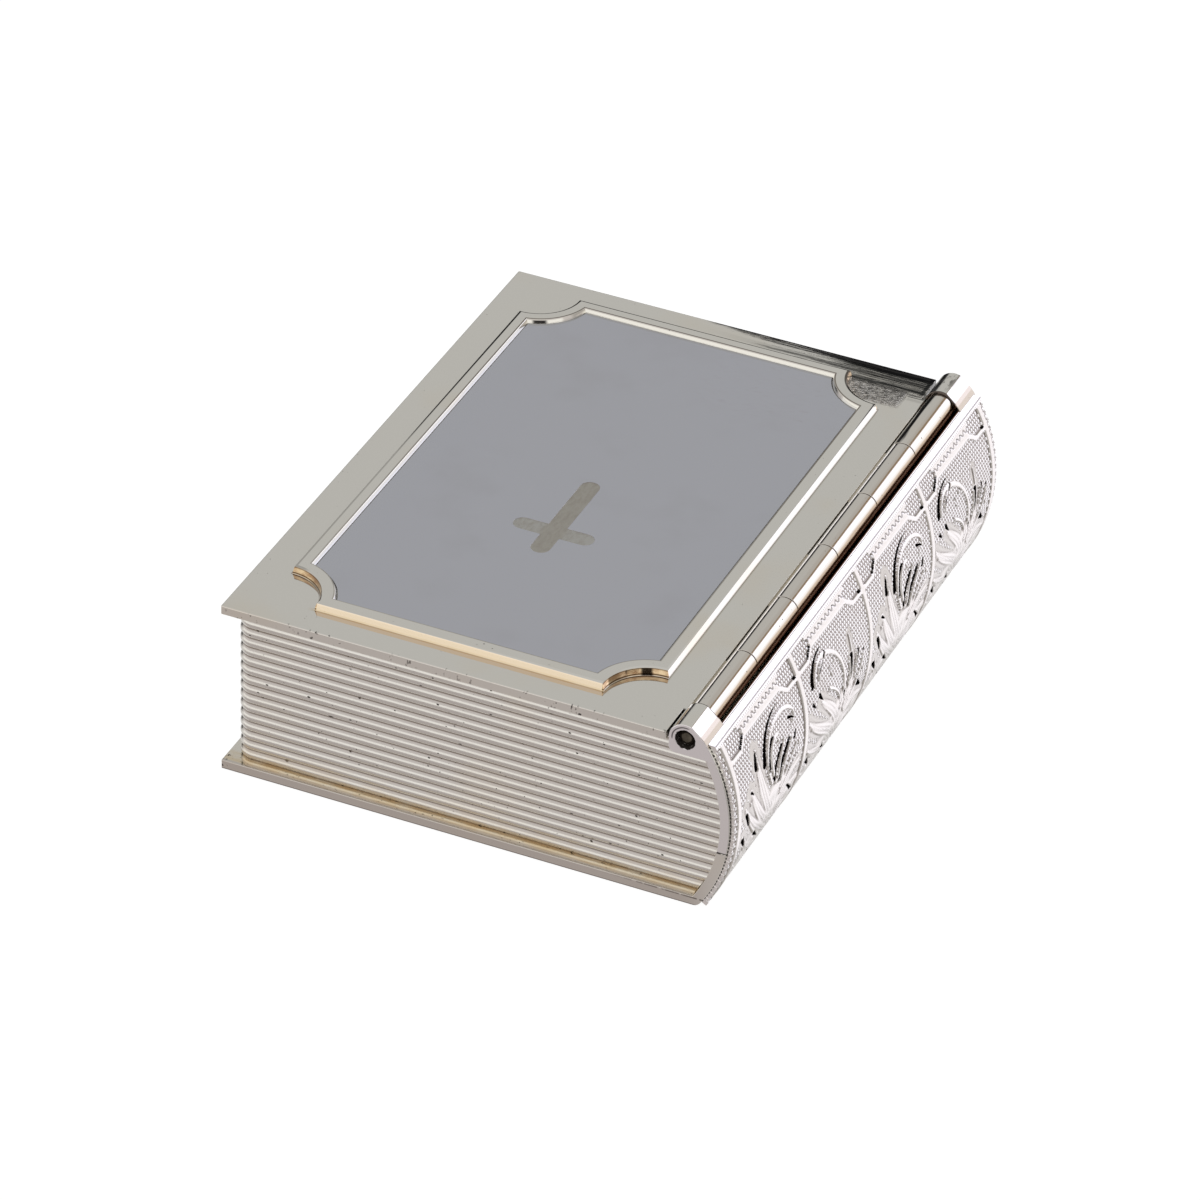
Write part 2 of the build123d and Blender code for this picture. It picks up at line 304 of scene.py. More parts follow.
# %% Nodes of a finish
class Finish:
    """The node tree of a material or of the world, with the colour and normal that it has so far."""

    def __init__(self, tree):
        self.tree = tree
        self.tree.nodes.clear()
        self.colour = None
        self.normal = None

    def node(self, kind, settings=None, sockets=None, output=0):
        """Add a node: its type, its settings, and the values or links of its sockets."""
        made = self.tree.nodes.new("ShaderNode" + kind)
        for name, value in (settings or {}).items():
            setattr(made, name, value)
        for name, value in (sockets or {}).items():
            connect(value, made.inputs[name])
        return Field(made.outputs[output]) if made.outputs else None

    def place(self):
        """Where a point is on the piece, in millimetres."""
        where = self.node("TexCoord", output="Object")
        return self.node("VectorMath", {"operation": "SCALE"}, {0: where, "Scale": 1 / MM})

    def stretched(self, place, x, y, z):
        """A place with each axis scaled, so that a pattern on it is drawn out the other way."""
        return self.node("VectorMath", {"operation": "MULTIPLY"}, {0: place, 1: (x, y, z)})

    def axes(self, place):
        """The three parts of a place as separate fields."""
        split = self.node("SeparateXYZ", None, {0: place}).socket.node
        return [Field(split.outputs[axis]) for axis in range(3)]

    def noise(self, place, scale, detail=2.0, roughness=0.5):
        """Cloudy noise from 0 to 1."""
        return self.node("TexNoise", None, {"Vector": place, "Scale": scale, "Detail": detail,
                                            "Roughness": roughness})

    def step(self, value, low, high):
        """0 below one level and 1 above another, with a soft change between."""
        return self.node("MapRange", {"interpolation_type": "SMOOTHSTEP"},
                         {"Value": value, "From Min": low, "From Max": high})

    def under(self, value, low, high):
        """1 below one level and 0 above another, with a soft change between."""
        return 1 - self.step(value, low, high)

    def between(self, value, low, high, soft):
        """1 between two levels and 0 outside them."""
        return self.step(value, low - soft, low) * self.under(value, high, high + soft)

    def from_line(self, place, x, z):
        """Distance from the line along the book that passes through (x, z)."""
        return self.node("VectorMath", {"operation": "DISTANCE"},
                         {0: self.stretched(place, 1, 0, 1), 1: (x, 0, z)}, output="Value")

    def blend(self, mask, below, above):
        """A colour that turns into another as a mask rises."""
        return self.node("Mix", {"data_type": "RGBA"}, {0: mask, 6: below, 7: above}, output=2)

    def specks(self, place, size, share, radius):
        """Round specks, one to a cell of a size in millimetres, in a share of the cells."""
        cell = self.node("TexVoronoi", None, {"Vector": place, "Scale": 1 / size, "Randomness": 1.0})
        colour = self.node("SeparateColor", None, {0: Field(cell.socket.node.outputs["Color"])})
        chosen = self.step(colour, 1 - share, 1 - share + 0.02)
        width = Field(colour.socket.node.outputs[1]) * radius + radius * 0.4
        reach = self.node("MapRange", {"clamp": True},
                          {"Value": cell * size, "From Min": width, "From Max": width * 0.6})
        return chosen * reach

    def stain(self, mask, colour):
        """Lay a colour over the surface's own colour as a mask rises."""
        self.colour = self.blend(mask, self.colour, colour)

    def bend(self, height, distance):
        """Bend the surface's normal further, by a height whose full step is a distance in millimetres."""
        sockets = {"Height": height, "Distance": distance * MM, "Strength": 1.0}
        if self.normal:
            sockets["Normal"] = self.normal
        self.normal = self.node("Bump", None, sockets)

    def metal(self, roughness, metallic=1.0):
        """The surface itself, in its own colour and normal."""
        surface = self.node("BsdfPrincipled", None, {
            "Base Color": self.colour, "Roughness": roughness, "Metallic": metallic,
            "Specular IOR Level": 0.0, "Normal": self.normal})
        self.node("OutputMaterial", None, {"Surface": surface})


def srgb(red, green, blue):
    """A colour as it is seen on a screen, from 0 to 255, as the linear light that Blender works in."""
    return tuple(((value / 255 + 0.055) / 1.055) ** 2.4 for value in (red, green, blue))


def new_finish(name):
    """A material and the tools to build it."""
    material = bpy.data.materials.new(name)
    material.use_nodes = True
    return material, Finish(material.node_tree)


print("a finish knows:", [name for name in vars(Finish) if not name.startswith("_")])

# %% [markdown]
# ## Camera
# A small shiny thing is best seen from some way off with a long lens, which keeps its edges nearly
# parallel. The camera goes round the box by an azimuth and an elevation, as on a turntable, and then
# leans a little.

# %% Camera
view_azimuth = math.radians(22.98)
view_elevation = math.radians(34.4)
view_lean = math.radians(1.99)
view_distance = 735.4
view_lens = 202.4
aim = Vector((-2.01, -0.67, 7.60))

back = Vector((math.sin(view_azimuth) * math.cos(view_elevation),
               -math.cos(view_azimuth) * math.cos(view_elevation), math.sin(view_elevation)))
level = Vector((math.cos(view_azimuth), math.sin(view_azimuth), 0))
upward = back.cross(level)
across = math.cos(view_lean) * level + math.sin(view_lean) * upward
upright_axis = back.cross(across)

camera_data = bpy.data.cameras.new("camera")
camera_data.lens = view_lens
camera_data.sensor_width = 36
camera = bpy.data.objects.new("camera", camera_data)
bpy.context.scene.collection.objects.link(camera)
stand = Matrix((across, upright_axis, back)).transposed().to_4x4()
stand.translation = (aim + view_distance * back) * MM
camera.matrix_world = stand
bpy.context.scene.camera = camera
bpy.context.scene.view_settings.view_transform = "Standard"
print("camera at", tuple(round(value / MM, 1) for value in camera.location))

# %% [markdown]
# ## What the metal sees
# Polished metal has hardly any colour of its own: it shows the room. So the room is made first, as a
# world of soft patches. A pale grey tent stands all round and a dark gap lies along the far horizon.
# Behind to the right is a grey screen with a brown top edge and a bright light in it. A low light is in
# front, with a dark stand beside it, and the table in front is in the camera's own shade. The camera
# itself sees only a plain white backdrop.

# %% The room as a world
tent_grey = (0.53, 0.525, 0.515)
room_patches = [
    # bearing from the far side, half its width, low and high edge in degrees, softness, colour
    (180, 100, 0, 90, 12, (0.62, 0.58, 0.57)),
    (0, 180, -90, -4, 6, (0.72, 0.71, 0.70)),
    (190, 66, -90, -4, 8, (0.48, 0.44, 0.43)),
    (185, 75, -15, 16, 4, (0.97, 0.95, 0.92)),
    (-22, 60, -15, 13, 7, (0.035, 0.034, 0.036)),
    (0, 180, 62, 90, 8, (0.58, 0.575, 0.57)),
    (46, 44, -70, 31, 6, (0.42, 0.40, 0.38)),
    (48, 42, 31, 36, 2, (0.30, 0.22, 0.14)),
    (30, 28, -44, 14, 5, (1.14, 1.12, 1.17)),
    (36, 20, 12, 31, 3, (1.42, 1.42, 1.60)),
    (153, 12, -45, 16, 4, (0.03, 0.028, 0.028)),
]

room = bpy.data.worlds.new("room")
room.use_nodes = True
bpy.context.scene.world = room
sky = Finish(room.node_tree)
direction = sky.node("TexCoord", output="Generated")
flat_direction = sky.node("VectorMath", {"operation": "MULTIPLY"}, {0: direction, 1: (1, 1, 0)})
compass = sky.node("VectorMath", {"operation": "NORMALIZE"}, {0: flat_direction})
climb = sky.axes(direction)[2]


def room_mask(bearing, half_width, low, high, soft):
    """1 inside a patch of the room, 0 outside it."""
    turn = math.radians(bearing)
    facing = sky.node("VectorMath", {"operation": "DOT_PRODUCT"},
                      {0: compass, 1: (math.sin(turn), math.cos(turn), 0)}, output="Value")
    outer, inner = (math.cos(math.radians(min(180, half_width + side * soft))) for side in (1, -1))
    wide = 1.0 if half_width >= 180 else sky.step(facing, outer, inner)
    edges = [math.sin(math.radians(max(-90, min(90, edge)))) for edge in
             (low - soft / 2, low + soft / 2, high - soft / 2, high + soft / 2)]
    tall = 1.0
    if low > -90:
        tall = sky.step(climb, edges[0], edges[1]) * tall
    if high < 90:
        tall = sky.under(climb, edges[2], edges[3]) * tall
    return wide * tall


room_colour = tent_grey
for bearing, half_width, low, high, soft, colour in room_patches:
    room_colour = sky.blend(room_mask(bearing, half_width, low, high, soft), room_colour, colour)
seen_directly = sky.node("LightPath", output="Is Camera Ray")
shown = sky.blend(seen_directly, room_colour, (1, 1, 1))
backdrop_light = sky.node("Background", None, {"Color": shown, "Strength": 1.0})
sky.node("OutputWorld", None, {"Surface": backdrop_light})
print("room:", len(room_patches), "patches of light and shade,", len(sky.tree.nodes), "nodes")

# %% [markdown]
# ## Floor
# The box lies on a white sheet. To the camera it is almost pure white by its own glow, with a little
# plain white under that, which keeps a faint shadow. The metal doesn't see the sheet but the lower half
# of the room, where the light of each direction is set above.

# %% Floor
floor_reach = 1500
floor_drop = 0.02
floor_points = [(side_x * floor_reach, side_y * floor_reach, -floor_drop)
                for side_x, side_y in ((-1, -1), (1, -1), (1, 1), (-1, 1))]
floor = mesh_object("floor", (floor_points, [(0, 1, 2, 3)]))
floor.visible_glossy = False
floor_finish, sheet = new_finish("white_sheet")
direct = sheet.node("LightPath", output="Is Camera Ray")
through = sheet.node("LightPath", output="Is Transmission Ray")
glow = sheet.node("Emission", None, {"Color": (0.9, 0.9, 0.9), "Strength": direct + through})
matt = sheet.node("BsdfDiffuse", None, {"Color": (0.26, 0.26, 0.26)})
lit = sheet.node("AddShader", None, {0: glow, 1: matt})
sheet.node("OutputMaterial", None, {"Surface": lit})
floor.data.materials.append(floor_finish)
measured(floor)

# %% [markdown]
# ## Outline of the raised frame
# The frame on the front cover is a rectangle whose corners are scooped out by a quarter circle. The plate
# inside it has the same outline, further in. Moving the outline in by a distance makes each scoop larger
# by that distance, so one function draws every line of the moulding.

# %% Scooped outline
plate_seam = 0.15
frame_band = 1.55
scoop_radius = 5.1
plate_middle = (plate_low + plate_high) / 2
frame_half = (plate_high - plate_low) / 2 + frame_band + plate_seam
frame_top = lid_high[2]


def scooped_outline(inset, steps=20):
    """Rectangle with scooped corners, moved in by a distance, as (x, y) points anticlockwise."""
    lean = math.degrees(math.asin(inset / (scoop_radius + inset)))
    corner = arc((frame_half[0], frame_half[1]), scoop_radius + inset, 270 - lean, 180 + lean, steps)
    outline = []
    for side_x, side_y in ((1, 1), (-1, 1), (-1, -1), (1, -1)):
        turned = [(plate_middle[0] + side_x * x, side_y * y) for x, y in corner]
        outline += turned if side_x * side_y > 0 else turned[::-1]
    return outline


print("frame:", np.round(2 * frame_half[:2], 2), "mm outside, top at", round(float(frame_top), 2))

# %% [markdown]
# ## Front cover
# The cover is a flat plate with the frame soldered on, or struck from the same sheet. The plate is cut
# back where the ears of the hinge stand, and milled out underneath for the hinge's leaf. The frame is a
# moulding: one small section, carried round the scooped outline.

# %% Front cover and its frame
ear_gap = 0.3
leaf_thickness = 0.5
lid_edge_at_ears = hinge_x - ear_radius - ear_gap
lid_edge_at_barrel = lid_high[0]
leaf_end = tongue_high[1]

cover_outline = [(fore_x, -end_y), (lid_edge_at_ears, -end_y), (lid_edge_at_ears, -leaf_end),
                 (lid_edge_at_barrel, -leaf_end), (lid_edge_at_barrel, leaf_end),
                 (lid_edge_at_ears, leaf_end), (lid_edge_at_ears, end_y), (fore_x, end_y)]
leaf_bed = [(tongue_low[0], -leaf_end), (hinge_x, -leaf_end), (hinge_x, leaf_end), (tongue_low[0], leaf_end)]
front_cover = mesh_object("front_cover_plate", upright(cover_outline, lid_low[2], lid_top))
cut_out(front_cover, upright(leaf_bed, lid_low[2] - 1, lid_low[2] + leaf_thickness))
round_edges(front_cover, 0.13, segments=3)

frame_draft = 0.2
shoulder_width = 0.3
shoulder_drop = 0.1
inner_rounding = 0.15
wall_lean = 0.1
moulding = [(-frame_draft - 0.012, lid_top - 0.05), (-0.01, frame_top - shoulder_drop - 0.03),
            (0.03, frame_top - shoulder_drop), (shoulder_width - 0.03, frame_top - 0.006),
            (shoulder_width + 0.03, frame_top)]
moulding += arc((frame_band - wall_lean - inner_rounding, frame_top - inner_rounding),
                inner_rounding, 90, 15, 6)
moulding += [(frame_band + wall_lean, plate_high[2] - 0.02), (frame_band + wall_lean, lid_top - 0.05)]
frame_rings = [[(x, y, z) for x, y in scooped_outline(inset)] for inset, z in moulding]
cover_frame = mesh_object("front_cover_frame", loft(frame_rings, wrapped=True), crisp=30)
measured(front_cover, cover_frame)

# %% [markdown]
# ## Engraving plate
# A separate mirror-flat plate drops into the frame. A small cross is etched in it, no deeper than a
# scratch, so that its floor looks frosted beside the polish. The place for a name is left bare.

# %% Engraving plate
cross_bar_width = 2.2
cross_upright = 15.0
cross_arm_span = 9.4
cross_arm_from_head = 4.45
cross_foot_from_middle = 0.85
engraving_depth = 0.05


def bar_outline(middle, length, width, turned):
    """Bar with round ends about a middle point, lying along x, or along y if turned."""
    reach = (length - width) / 2
    outline = arc((reach, 0), width / 2, -90, 90, 16) + arc((-reach, 0), width / 2, 90, 270, 16)
    if turned:
        outline = [(-y, x) for x, y in outline]
    return [(middle[0] + x, middle[1] + y) for x, y in outline]


cross_head_y = cross_foot_from_middle - cross_upright
cross_bars = [
    bar_outline((plate_middle[0], cross_foot_from_middle - cross_upright / 2), cross_upright,
                cross_bar_width, True),
    bar_outline((plate_middle[0], cross_head_y + cross_arm_from_head), cross_arm_span,
                cross_bar_width, False)]
engraving_plate = mesh_object("engraving_plate_polished",
                              upright(scooped_outline(frame_band + plate_seam), lid_top, plate_high[2]))
cut_out(engraving_plate, *[upright(bar, plate_high[2] - engraving_depth, plate_high[2] + 1)
                           for bar in cross_bars])
round_edges(engraving_plate, 0.025, segments=2)
measured(engraving_plate)

# %% [markdown]
# ## Back cover
# The back cover is one sheet: a flat board that turns up into the lower part of the spine. Its section is
# drawn once and carried from head to tail.

# %% Back cover
foot_radius = 1.0
foot_reach = math.sqrt((spine_radius - foot_radius) ** 2 - (spine_axis[1] - foot_radius) ** 2)
foot_middle = (spine_axis[0] + foot_reach, foot_radius)
foot_turn = math.degrees(math.atan2(foot_middle[1] - spine_axis[1], foot_middle[0] - spine_axis[0]))


def turn_at(z, radius):
    """Angle, seen from the spine's axis, at which a circle about it reaches a height."""
    return math.degrees(math.asin((z - spine_axis[1]) / radius))


inner_radius = spine_radius - band_thickness
board_section = [(fore_x, 0)] + arc(foot_middle, foot_radius, -90, foot_turn, 10)
board_section += arc(spine_axis, spine_radius, foot_turn, turn_at(curl_height, spine_radius), 24)[1:]
board_section += arc(spine_axis, inner_radius, turn_at(curl_height, inner_radius),
                     turn_at(cover_thickness, inner_radius), 24)
board_section += [(fore_x, cover_thickness)]
back_cover = mesh_object("back_cover_sheet", along_book(board_section, -end_y, end_y))
round_edges(back_cover, 0.1, segments=3)
measured(back_cover)

# %% [markdown]
# ## Pages
# The page edges are a strip of rolled reeding: round crests with narrow grooves. One profile goes round
# three sides of the book, with rounded corners. Each point of it ends where the spine's curved band
# stands, or short of the ears of the hinge.

# %% Pages: profile of the reeds
reed_depth = 0.3
reed_count = 15
reed_crest_share = 0.94
top_strip = 0.65
page_wall = 1.1
back_wall_thickness = 1.2
corner_radius = 1.6
solder_gap = 0.05
ear_foot_drop = 1.95
groove_x = pages_low[0] + reed_depth
groove_y = pages_high[1] - reed_depth
wall_y = groove_y - page_wall
reed_pitch = (pages_high[2] - pages_low[2] - top_strip) / reed_count
ear_step_z = hinge_z - ear_foot_drop - solder_gap
ear_step_x = hinge_x - ear_radius - solder_gap


def reed_profile(crest_steps=10):
    """Reeds from the bottom up, as (height out of the groove, z)."""
    half_crest = reed_pitch * reed_crest_share / 2
    crest_radius = (half_crest ** 2 + reed_depth ** 2) / (2 * reed_depth)
    half_turn = math.degrees(math.asin(half_crest / crest_radius))
    profile = [(0, pages_low[2])]
    for reed in range(reed_count):
        middle = pages_low[2] + (reed + 0.5) * reed_pitch
        profile += arc((reed_depth - crest_radius, middle), crest_radius, -half_turn, half_turn, crest_steps)
    profile += [(0, pages_low[2] + reed_count * reed_pitch), (0, pages_high[2] - 0.1), (-0.1, pages_high[2])]
    below = [point for point in profile if point[1] < ear_step_z]
    step = [(below[-1][0], ear_step_z - 0.001), (below[-1][0], ear_step_z + 0.001)]
    return below + step + [point for point in profile if point[1] > ear_step_z]


def pages_end(z):
    """How far towards the spine the pages reach at a height."""
    band = spine_axis[0] + math.sqrt((inner_radius - solder_gap) ** 2 - (z - spine_axis[1]) ** 2)
    return band if z < ear_step_z else min(band, ear_step_x)


def page_station(place_x, place_y, turn, profile):
    """Reed profile and the plain wall behind it, at a corner's middle and a direction outward."""
    ring = []
    for depth, z in profile + [(-page_wall, z) for _, z in profile[::-1]]:
        reach = corner_radius + depth
        if depth == -page_wall:
            reach /= max(abs(math.cos(turn)), abs(math.sin(turn)))
        x = place_x + reach * math.cos(turn)
        y = place_y + reach * math.sin(turn)
        if place_x > 0:
            x = pages_end(z)
        ring.append((x, y, z))
    return ring


reeds = reed_profile()
print(f"{reed_count} reeds, one every {reed_pitch:.3f} mm, drawn with {len(reeds)} points")

# %% [markdown]
# ### Round the three sides
# The profile stands at each end of the strip and at small turns round both corners. The loft fills what is
# between. The two ends are closed level by level, and a plain wall closes the fourth side behind the hinge.

# %% Pages: round three sides
corner_steps = 8
corner_x = groove_x + corner_radius
corner_y = groove_y - corner_radius
page_rings = [page_station(1, -corner_y, math.radians(-90), reeds)]
for side in (-1, 1):
    for step in range(corner_steps + 1):
        turn = 270 - 90 * step / corner_steps if side < 0 else 180 - 90 * step / corner_steps
        page_rings.append(page_station(corner_x, side * corner_y, math.radians(turn), reeds))
page_rings.append(page_station(1, corner_y, math.radians(90), reeds))

page_points, page_faces = loft(page_rings, capped=False)
ring_count = len(page_rings[0])
for first in (0, len(page_points) - ring_count):
    for level in range(len(reeds) - 1):
        page_faces.append((first + level, first + level + 1,
                           first + ring_count - 2 - level, first + ring_count - 1 - level))
back_wall = [(knuckles_low[0] - back_wall_thickness, -wall_y), (knuckles_low[0], -wall_y),
             (knuckles_low[0], wall_y), (knuckles_low[0] - back_wall_thickness, wall_y)]
page_block = mesh_object("page_block_reeded", together((page_points, page_faces),
                                                       upright(back_wall, pages_low[2], pages_high[2])))
measured(page_block)

# %% [markdown]
# ## Spine shell
# The upper part of the spine is a curved band of the same gauge as the back cover. At each end it carries
# an ear, bored for the pin, with its mouth opened out so that the pin's end lies below the face.

# %% Spine shell
ear_width = 4.35
lip_lean = -1.05
pin_bore = (pin_high[2] - pin_low[2]) / 2 + 0.02
ear_mouth_radius = 1.1
ear_mouth_depth = 0.8
lip_clearance = 2.1
band_set_back = 0.03


def cleared(turn):
    """Point of the band's inside in a direction from the spine's axis, moved outward clear of the barrel."""
    direction = Vector((math.cos(turn), math.sin(turn)))
    reach = inner_radius
    while (Vector(spine_axis) + direction * reach - Vector((hinge_x, hinge_z))).length < lip_clearance:
        reach += 0.005
    return tuple(Vector(spine_axis) + direction * reach)


lip_inner = (hinge_x + math.sqrt(lip_clearance ** 2 - (hinge_z - lip_z) ** 2), lip_z)
lip_turn = math.atan2(lip_inner[1] - spine_axis[1], lip_inner[0] - spine_axis[0])
band_section = arc(spine_axis, spine_radius, turn_at(curl_height, spine_radius),
                   turn_at(lip_z, spine_radius), 48)
band_section += [cleared(turn) for turn in
                 np.linspace(lip_turn, math.radians(turn_at(curl_height, inner_radius)), 60)]

ear_foot_radius = 0.8
ear_tip = (hinge_x + 2.05, hinge_z + 0.45)
foot = (hinge_x - ear_radius + ear_foot_radius, hinge_z - ear_foot_drop + ear_foot_radius)
ear_outline = [ear_tip] + arc((hinge_x, hinge_z), ear_radius, 70, 180, 40)
ear_outline += arc(foot, ear_foot_radius, 180, 270, 10)
ear_outline += arc(spine_axis, spine_radius - 0.02, turn_at(hinge_z - ear_foot_drop, spine_radius),
                   turn_at(lip_z, spine_radius), 10)


def with_short_edges(outline, longest=0.12):
    """The same outline with its long straight stretches divided."""
    divided = []
    for start, end in zip(outline, outline[1:] + outline[:1]):
        parts = max(1, math.ceil(math.dist(start, end) / longest))
        divided += [(start[0] + (end[0] - start[0]) * part / parts,
                     start[1] + (end[1] - start[1]) * part / parts) for part in range(parts)]
    return divided


def bored(outline, y_and_radius):
    """A solid with a stepped bore on the hinge's axis: its ends, then the bore's places and radii."""
    outline = with_short_edges(outline)
    turns = [math.atan2(z - hinge_z, x - hinge_x) for x, z in outline]
    rings = [[(x, y, z) for x, z in outline] for y in (y_and_radius[0][0], y_and_radius[-1][0])]
    for y, radius in y_and_radius[::-1]:
        rings.append([(hinge_x + radius * math.cos(turn), y, hinge_z + radius * math.sin(turn))
                      for turn in turns])
    return loft(rings, wrapped=True)


ears = []
for side in (-1, 1):
    face, mouth, inside = (side * reach for reach in (end_y, end_y - ear_mouth_depth, end_y - ear_width))
    ears.append(bored(ear_outline, [(face, ear_mouth_radius), (mouth, ear_mouth_radius),
                                    (mouth, pin_bore), (inside, pin_bore)]))
spine_shell = mesh_object("spine_shell_band", together(
    along_book(band_section, -end_y + band_set_back, end_y - band_set_back), *ears))
round_edges(spine_shell, 0.15, segments=3, angle=25)
measured(spine_shell)

# %% [markdown]
# ## Hinge
# The hinge is a row of rolled knuckles on one pin. Every other knuckle belongs to the cover's leaf, the
# rest to the box's leaf. A knuckle is a tube, with a tongue that joins it to its leaf.

# %% Hinge leaves and pin
knuckle_count = 6
knuckle_slit = 0.12
knuckle_bore = (pin_high[2] - pin_low[2]) / 2 + 0.05
barrel_end = leaf_end + knuckle_slit / 2
knuckle_pitch = 2 * barrel_end / knuckle_count
tongue_set_back = 0.06
round_barrel = arc((hinge_x, hinge_z), barrel_radius, 0, 360, 120)[:-1]


def rectangle(x_low, x_high, z_low, z_high):
    """Corners of a rectangle."""
    return [(x_low, z_low), (x_high, z_low), (x_high, z_high), (x_low, z_high)]


def hinge_leaf(name, first, leaf, tongue):
    """Every other knuckle from one on, with its leaf's section and its tongues' section."""
    solids = [along_book(leaf, -leaf_end, leaf_end)]
    for index in range(first, knuckle_count, 2):
        near = -barrel_end + index * knuckle_pitch + knuckle_slit / 2
        far = near + knuckle_pitch - knuckle_slit
        solids.append(bored(round_barrel, [(near, knuckle_bore), (far, knuckle_bore)]))
        solids.append(along_book(tongue, near + tongue_set_back, far - tongue_set_back))
    return round_edges(mesh_object(name, together(*solids)), 0.07, segments=3)


leaf_x = knuckles_low[0]
leaf_top = hinge_z - barrel_radius - ear_gap
inside_tube = (barrel_radius + knuckle_bore) / 2
body_leaf = hinge_leaf("box_hinge_leaf", 1,
                       rectangle(leaf_x, leaf_x + leaf_thickness, knuckles_low[2], leaf_top),
                       rectangle(leaf_x + 0.01, leaf_x + leaf_thickness, leaf_top - 0.2, hinge_z))
lid_leaf = hinge_leaf("cover_hinge_leaf", 0,
                      rectangle(tongue_low[0], lid_edge_at_barrel, lid_low[2], lid_low[2] + leaf_thickness),
                      rectangle(lid_edge_at_barrel - 0.2, hinge_x - inside_tube, lid_low[2] + 0.01,
                                lid_low[2] + leaf_thickness - 0.01))

pin_radius = (pin_high[2] - pin_low[2]) / 2
pin_chamfer = 0.15
pin_profile = [(pin_low[1], pin_radius * 0.5), (pin_low[1] + 0.02, pin_radius - pin_chamfer),
               (pin_low[1] + pin_chamfer, pin_radius), (pin_high[1] - pin_chamfer, pin_radius),
               (pin_high[1] - 0.02, pin_radius - pin_chamfer), (pin_high[1], pin_radius * 0.5)]
pin_rings = [[(x, y, z) for x, z in arc((hinge_x, hinge_z), radius, 0, 360, 64)[:-1]]
             for y, radius in pin_profile]
hinge_pin = mesh_object("hinge_pin_wire", loft(pin_rings), crisp=30)
measured(body_leaf, lid_leaf, hinge_pin)

# %% [markdown]
# ## Linings
# The inside is lined with card covered in velvet. Each card is a low cushion: flat in the middle, rounded
# down to its edges, with the slight unevenness of cloth pulled over board.

# %% Velvet cards
def velvet_card(name, node, body, facing, edge, finish, cell=1.0):
    """Cushion in a node's box, domed towards the side that it faces: an axis and a sign."""
    low, high = node_box(node)
    axis, sign = facing
    first, second = [other for other in range(3) if other != axis]
    counts = [max(4, round((high[other] - low[other]) / cell)) for other in (first, second)]
    firsts, seconds = (np.linspace(low[other], high[other], count + 1)
                       for other, count in zip((first, second), counts))
    thickness = high[axis] - low[axis]
    points, faces = [], []
    for a in firsts:
        for b in seconds:
            margin = min(a - low[first], high[first] - a, b - low[second], high[second] - b)
            rise = math.sqrt(1 - (1 - min(1, margin / edge)) ** 2)
            ripple = 0.5 + 0.25 * (math.sin(a * 0.9 + 1.3 * math.sin(b * 0.37))
                                   + math.sin(b * 0.7 + a * 0.21))
            height = thickness * (0.25 + 0.75 * rise) * (0.96 + 0.04 * ripple)
            point = [0, 0, 0]
            point[first], point[second] = a, b
            point[axis] = low[axis] + height if sign > 0 else high[axis] - height
            points.append(point)
    row = counts[1] + 1
    for i in range(counts[0]):
        for j in range(counts[1]):
            faces.append((i * row + j, (i + 1) * row + j, (i + 1) * row + j + 1, i * row + j + 1))
    rim = [i * row for i in range(counts[0])] + [counts[0] * row + j for j in range(counts[1])]
    rim += [i * row + counts[1] for i in range(counts[0], 0, -1)] + [j for j in range(counts[1], 0, -1)]
    base = len(points)
    for index in rim:
        point = list(points[index])
        point[axis] = low[axis] if sign > 0 else high[axis]
        points.append(point)
    for place, index in enumerate(rim):
        after = (place + 1) % len(rim)
        faces.append((index, rim[after], base + after, base + place))
    faces.append(tuple(range(base, base + len(rim))))
    card = mesh_object(name, (points, faces), crisp=60)
    fit(card, node, body, finish)
    return card

# %% [markdown]
# ## Relief of the spine
# The spine's plate is struck from a die: straps with small windows along the top, dividers, a ground of
# fine dots, and acanthus scrolls. A relief this shallow is a height over a grid, so it is worked out as a
# height field and then bent round the spine. Strokes are curves with a few handles, wide at one end and
# fine at the other. The deepest cuts are blackened, as a silversmith does to make a pattern stand out.

# %% Relief: a grid over the plate
cell = 0.13
plate_thickness = 0.4
relief_depth = 0.25
divider_count = 5
divider_inset = 1.55
half_divider = 0.62
border_height = 0.7

skin_radius = spine_radius + plate_thickness
panel_turn_top = math.radians(turn_at(lip_z, skin_radius + relief_depth))
panel_turn_foot = math.radians(turn_at(panel_low[2], spine_radius))
panel_drop = (panel_turn_top - panel_turn_foot) * skin_radius
columns = round((panel_high[1] - panel_low[1]) / cell)
rows = round(panel_drop / cell)
along_y, down_v = np.meshgrid(np.linspace(panel_low[1], panel_high[1], columns + 1),
                              np.linspace(0, panel_drop, rows + 1), indexing="ij")
divider_pitch = 2 * (end_y - divider_inset) / (divider_count - 1)
divider_places = [-end_y + divider_inset + index * divider_pitch for index in range(divider_count)]
print(f"relief grid {columns} x {rows}, plate {panel_drop:.1f} mm over the curve")


def rounded_step(distance, half_width, soft):
    """1 within a distance of a line, falling to 0 over a soft edge."""
    share = np.clip((half_width + soft / 2 - distance) / soft, 0, 1)
    return share * share * (3 - 2 * share)


def curve_points(handles, shares):
    """Points along a curve with any number of handles."""
    points = np.array(handles, float)[:, None, :] * np.ones((1, len(shares), 1))
    while len(points) > 1:
        points = points[:-1] * (1 - shares)[None, :, None] + points[1:] * shares[None, :, None]
    return points[0]


def stroke(across, down, handles, start_width, end_width):
    """Distance from a tapering stroke's middle line in half widths, and the plain distance."""
    shares = np.linspace(0, 1, 40)
    line = curve_points(handles, shares)
    gaps = np.hypot(across[..., None] - line[:, 0], down[..., None] - line[:, 1])
    nearest = gaps.argmin(-1)
    width = start_width + (end_width - start_width) * shares[nearest]
    distance = gaps.min(-1)
    return distance / width, distance


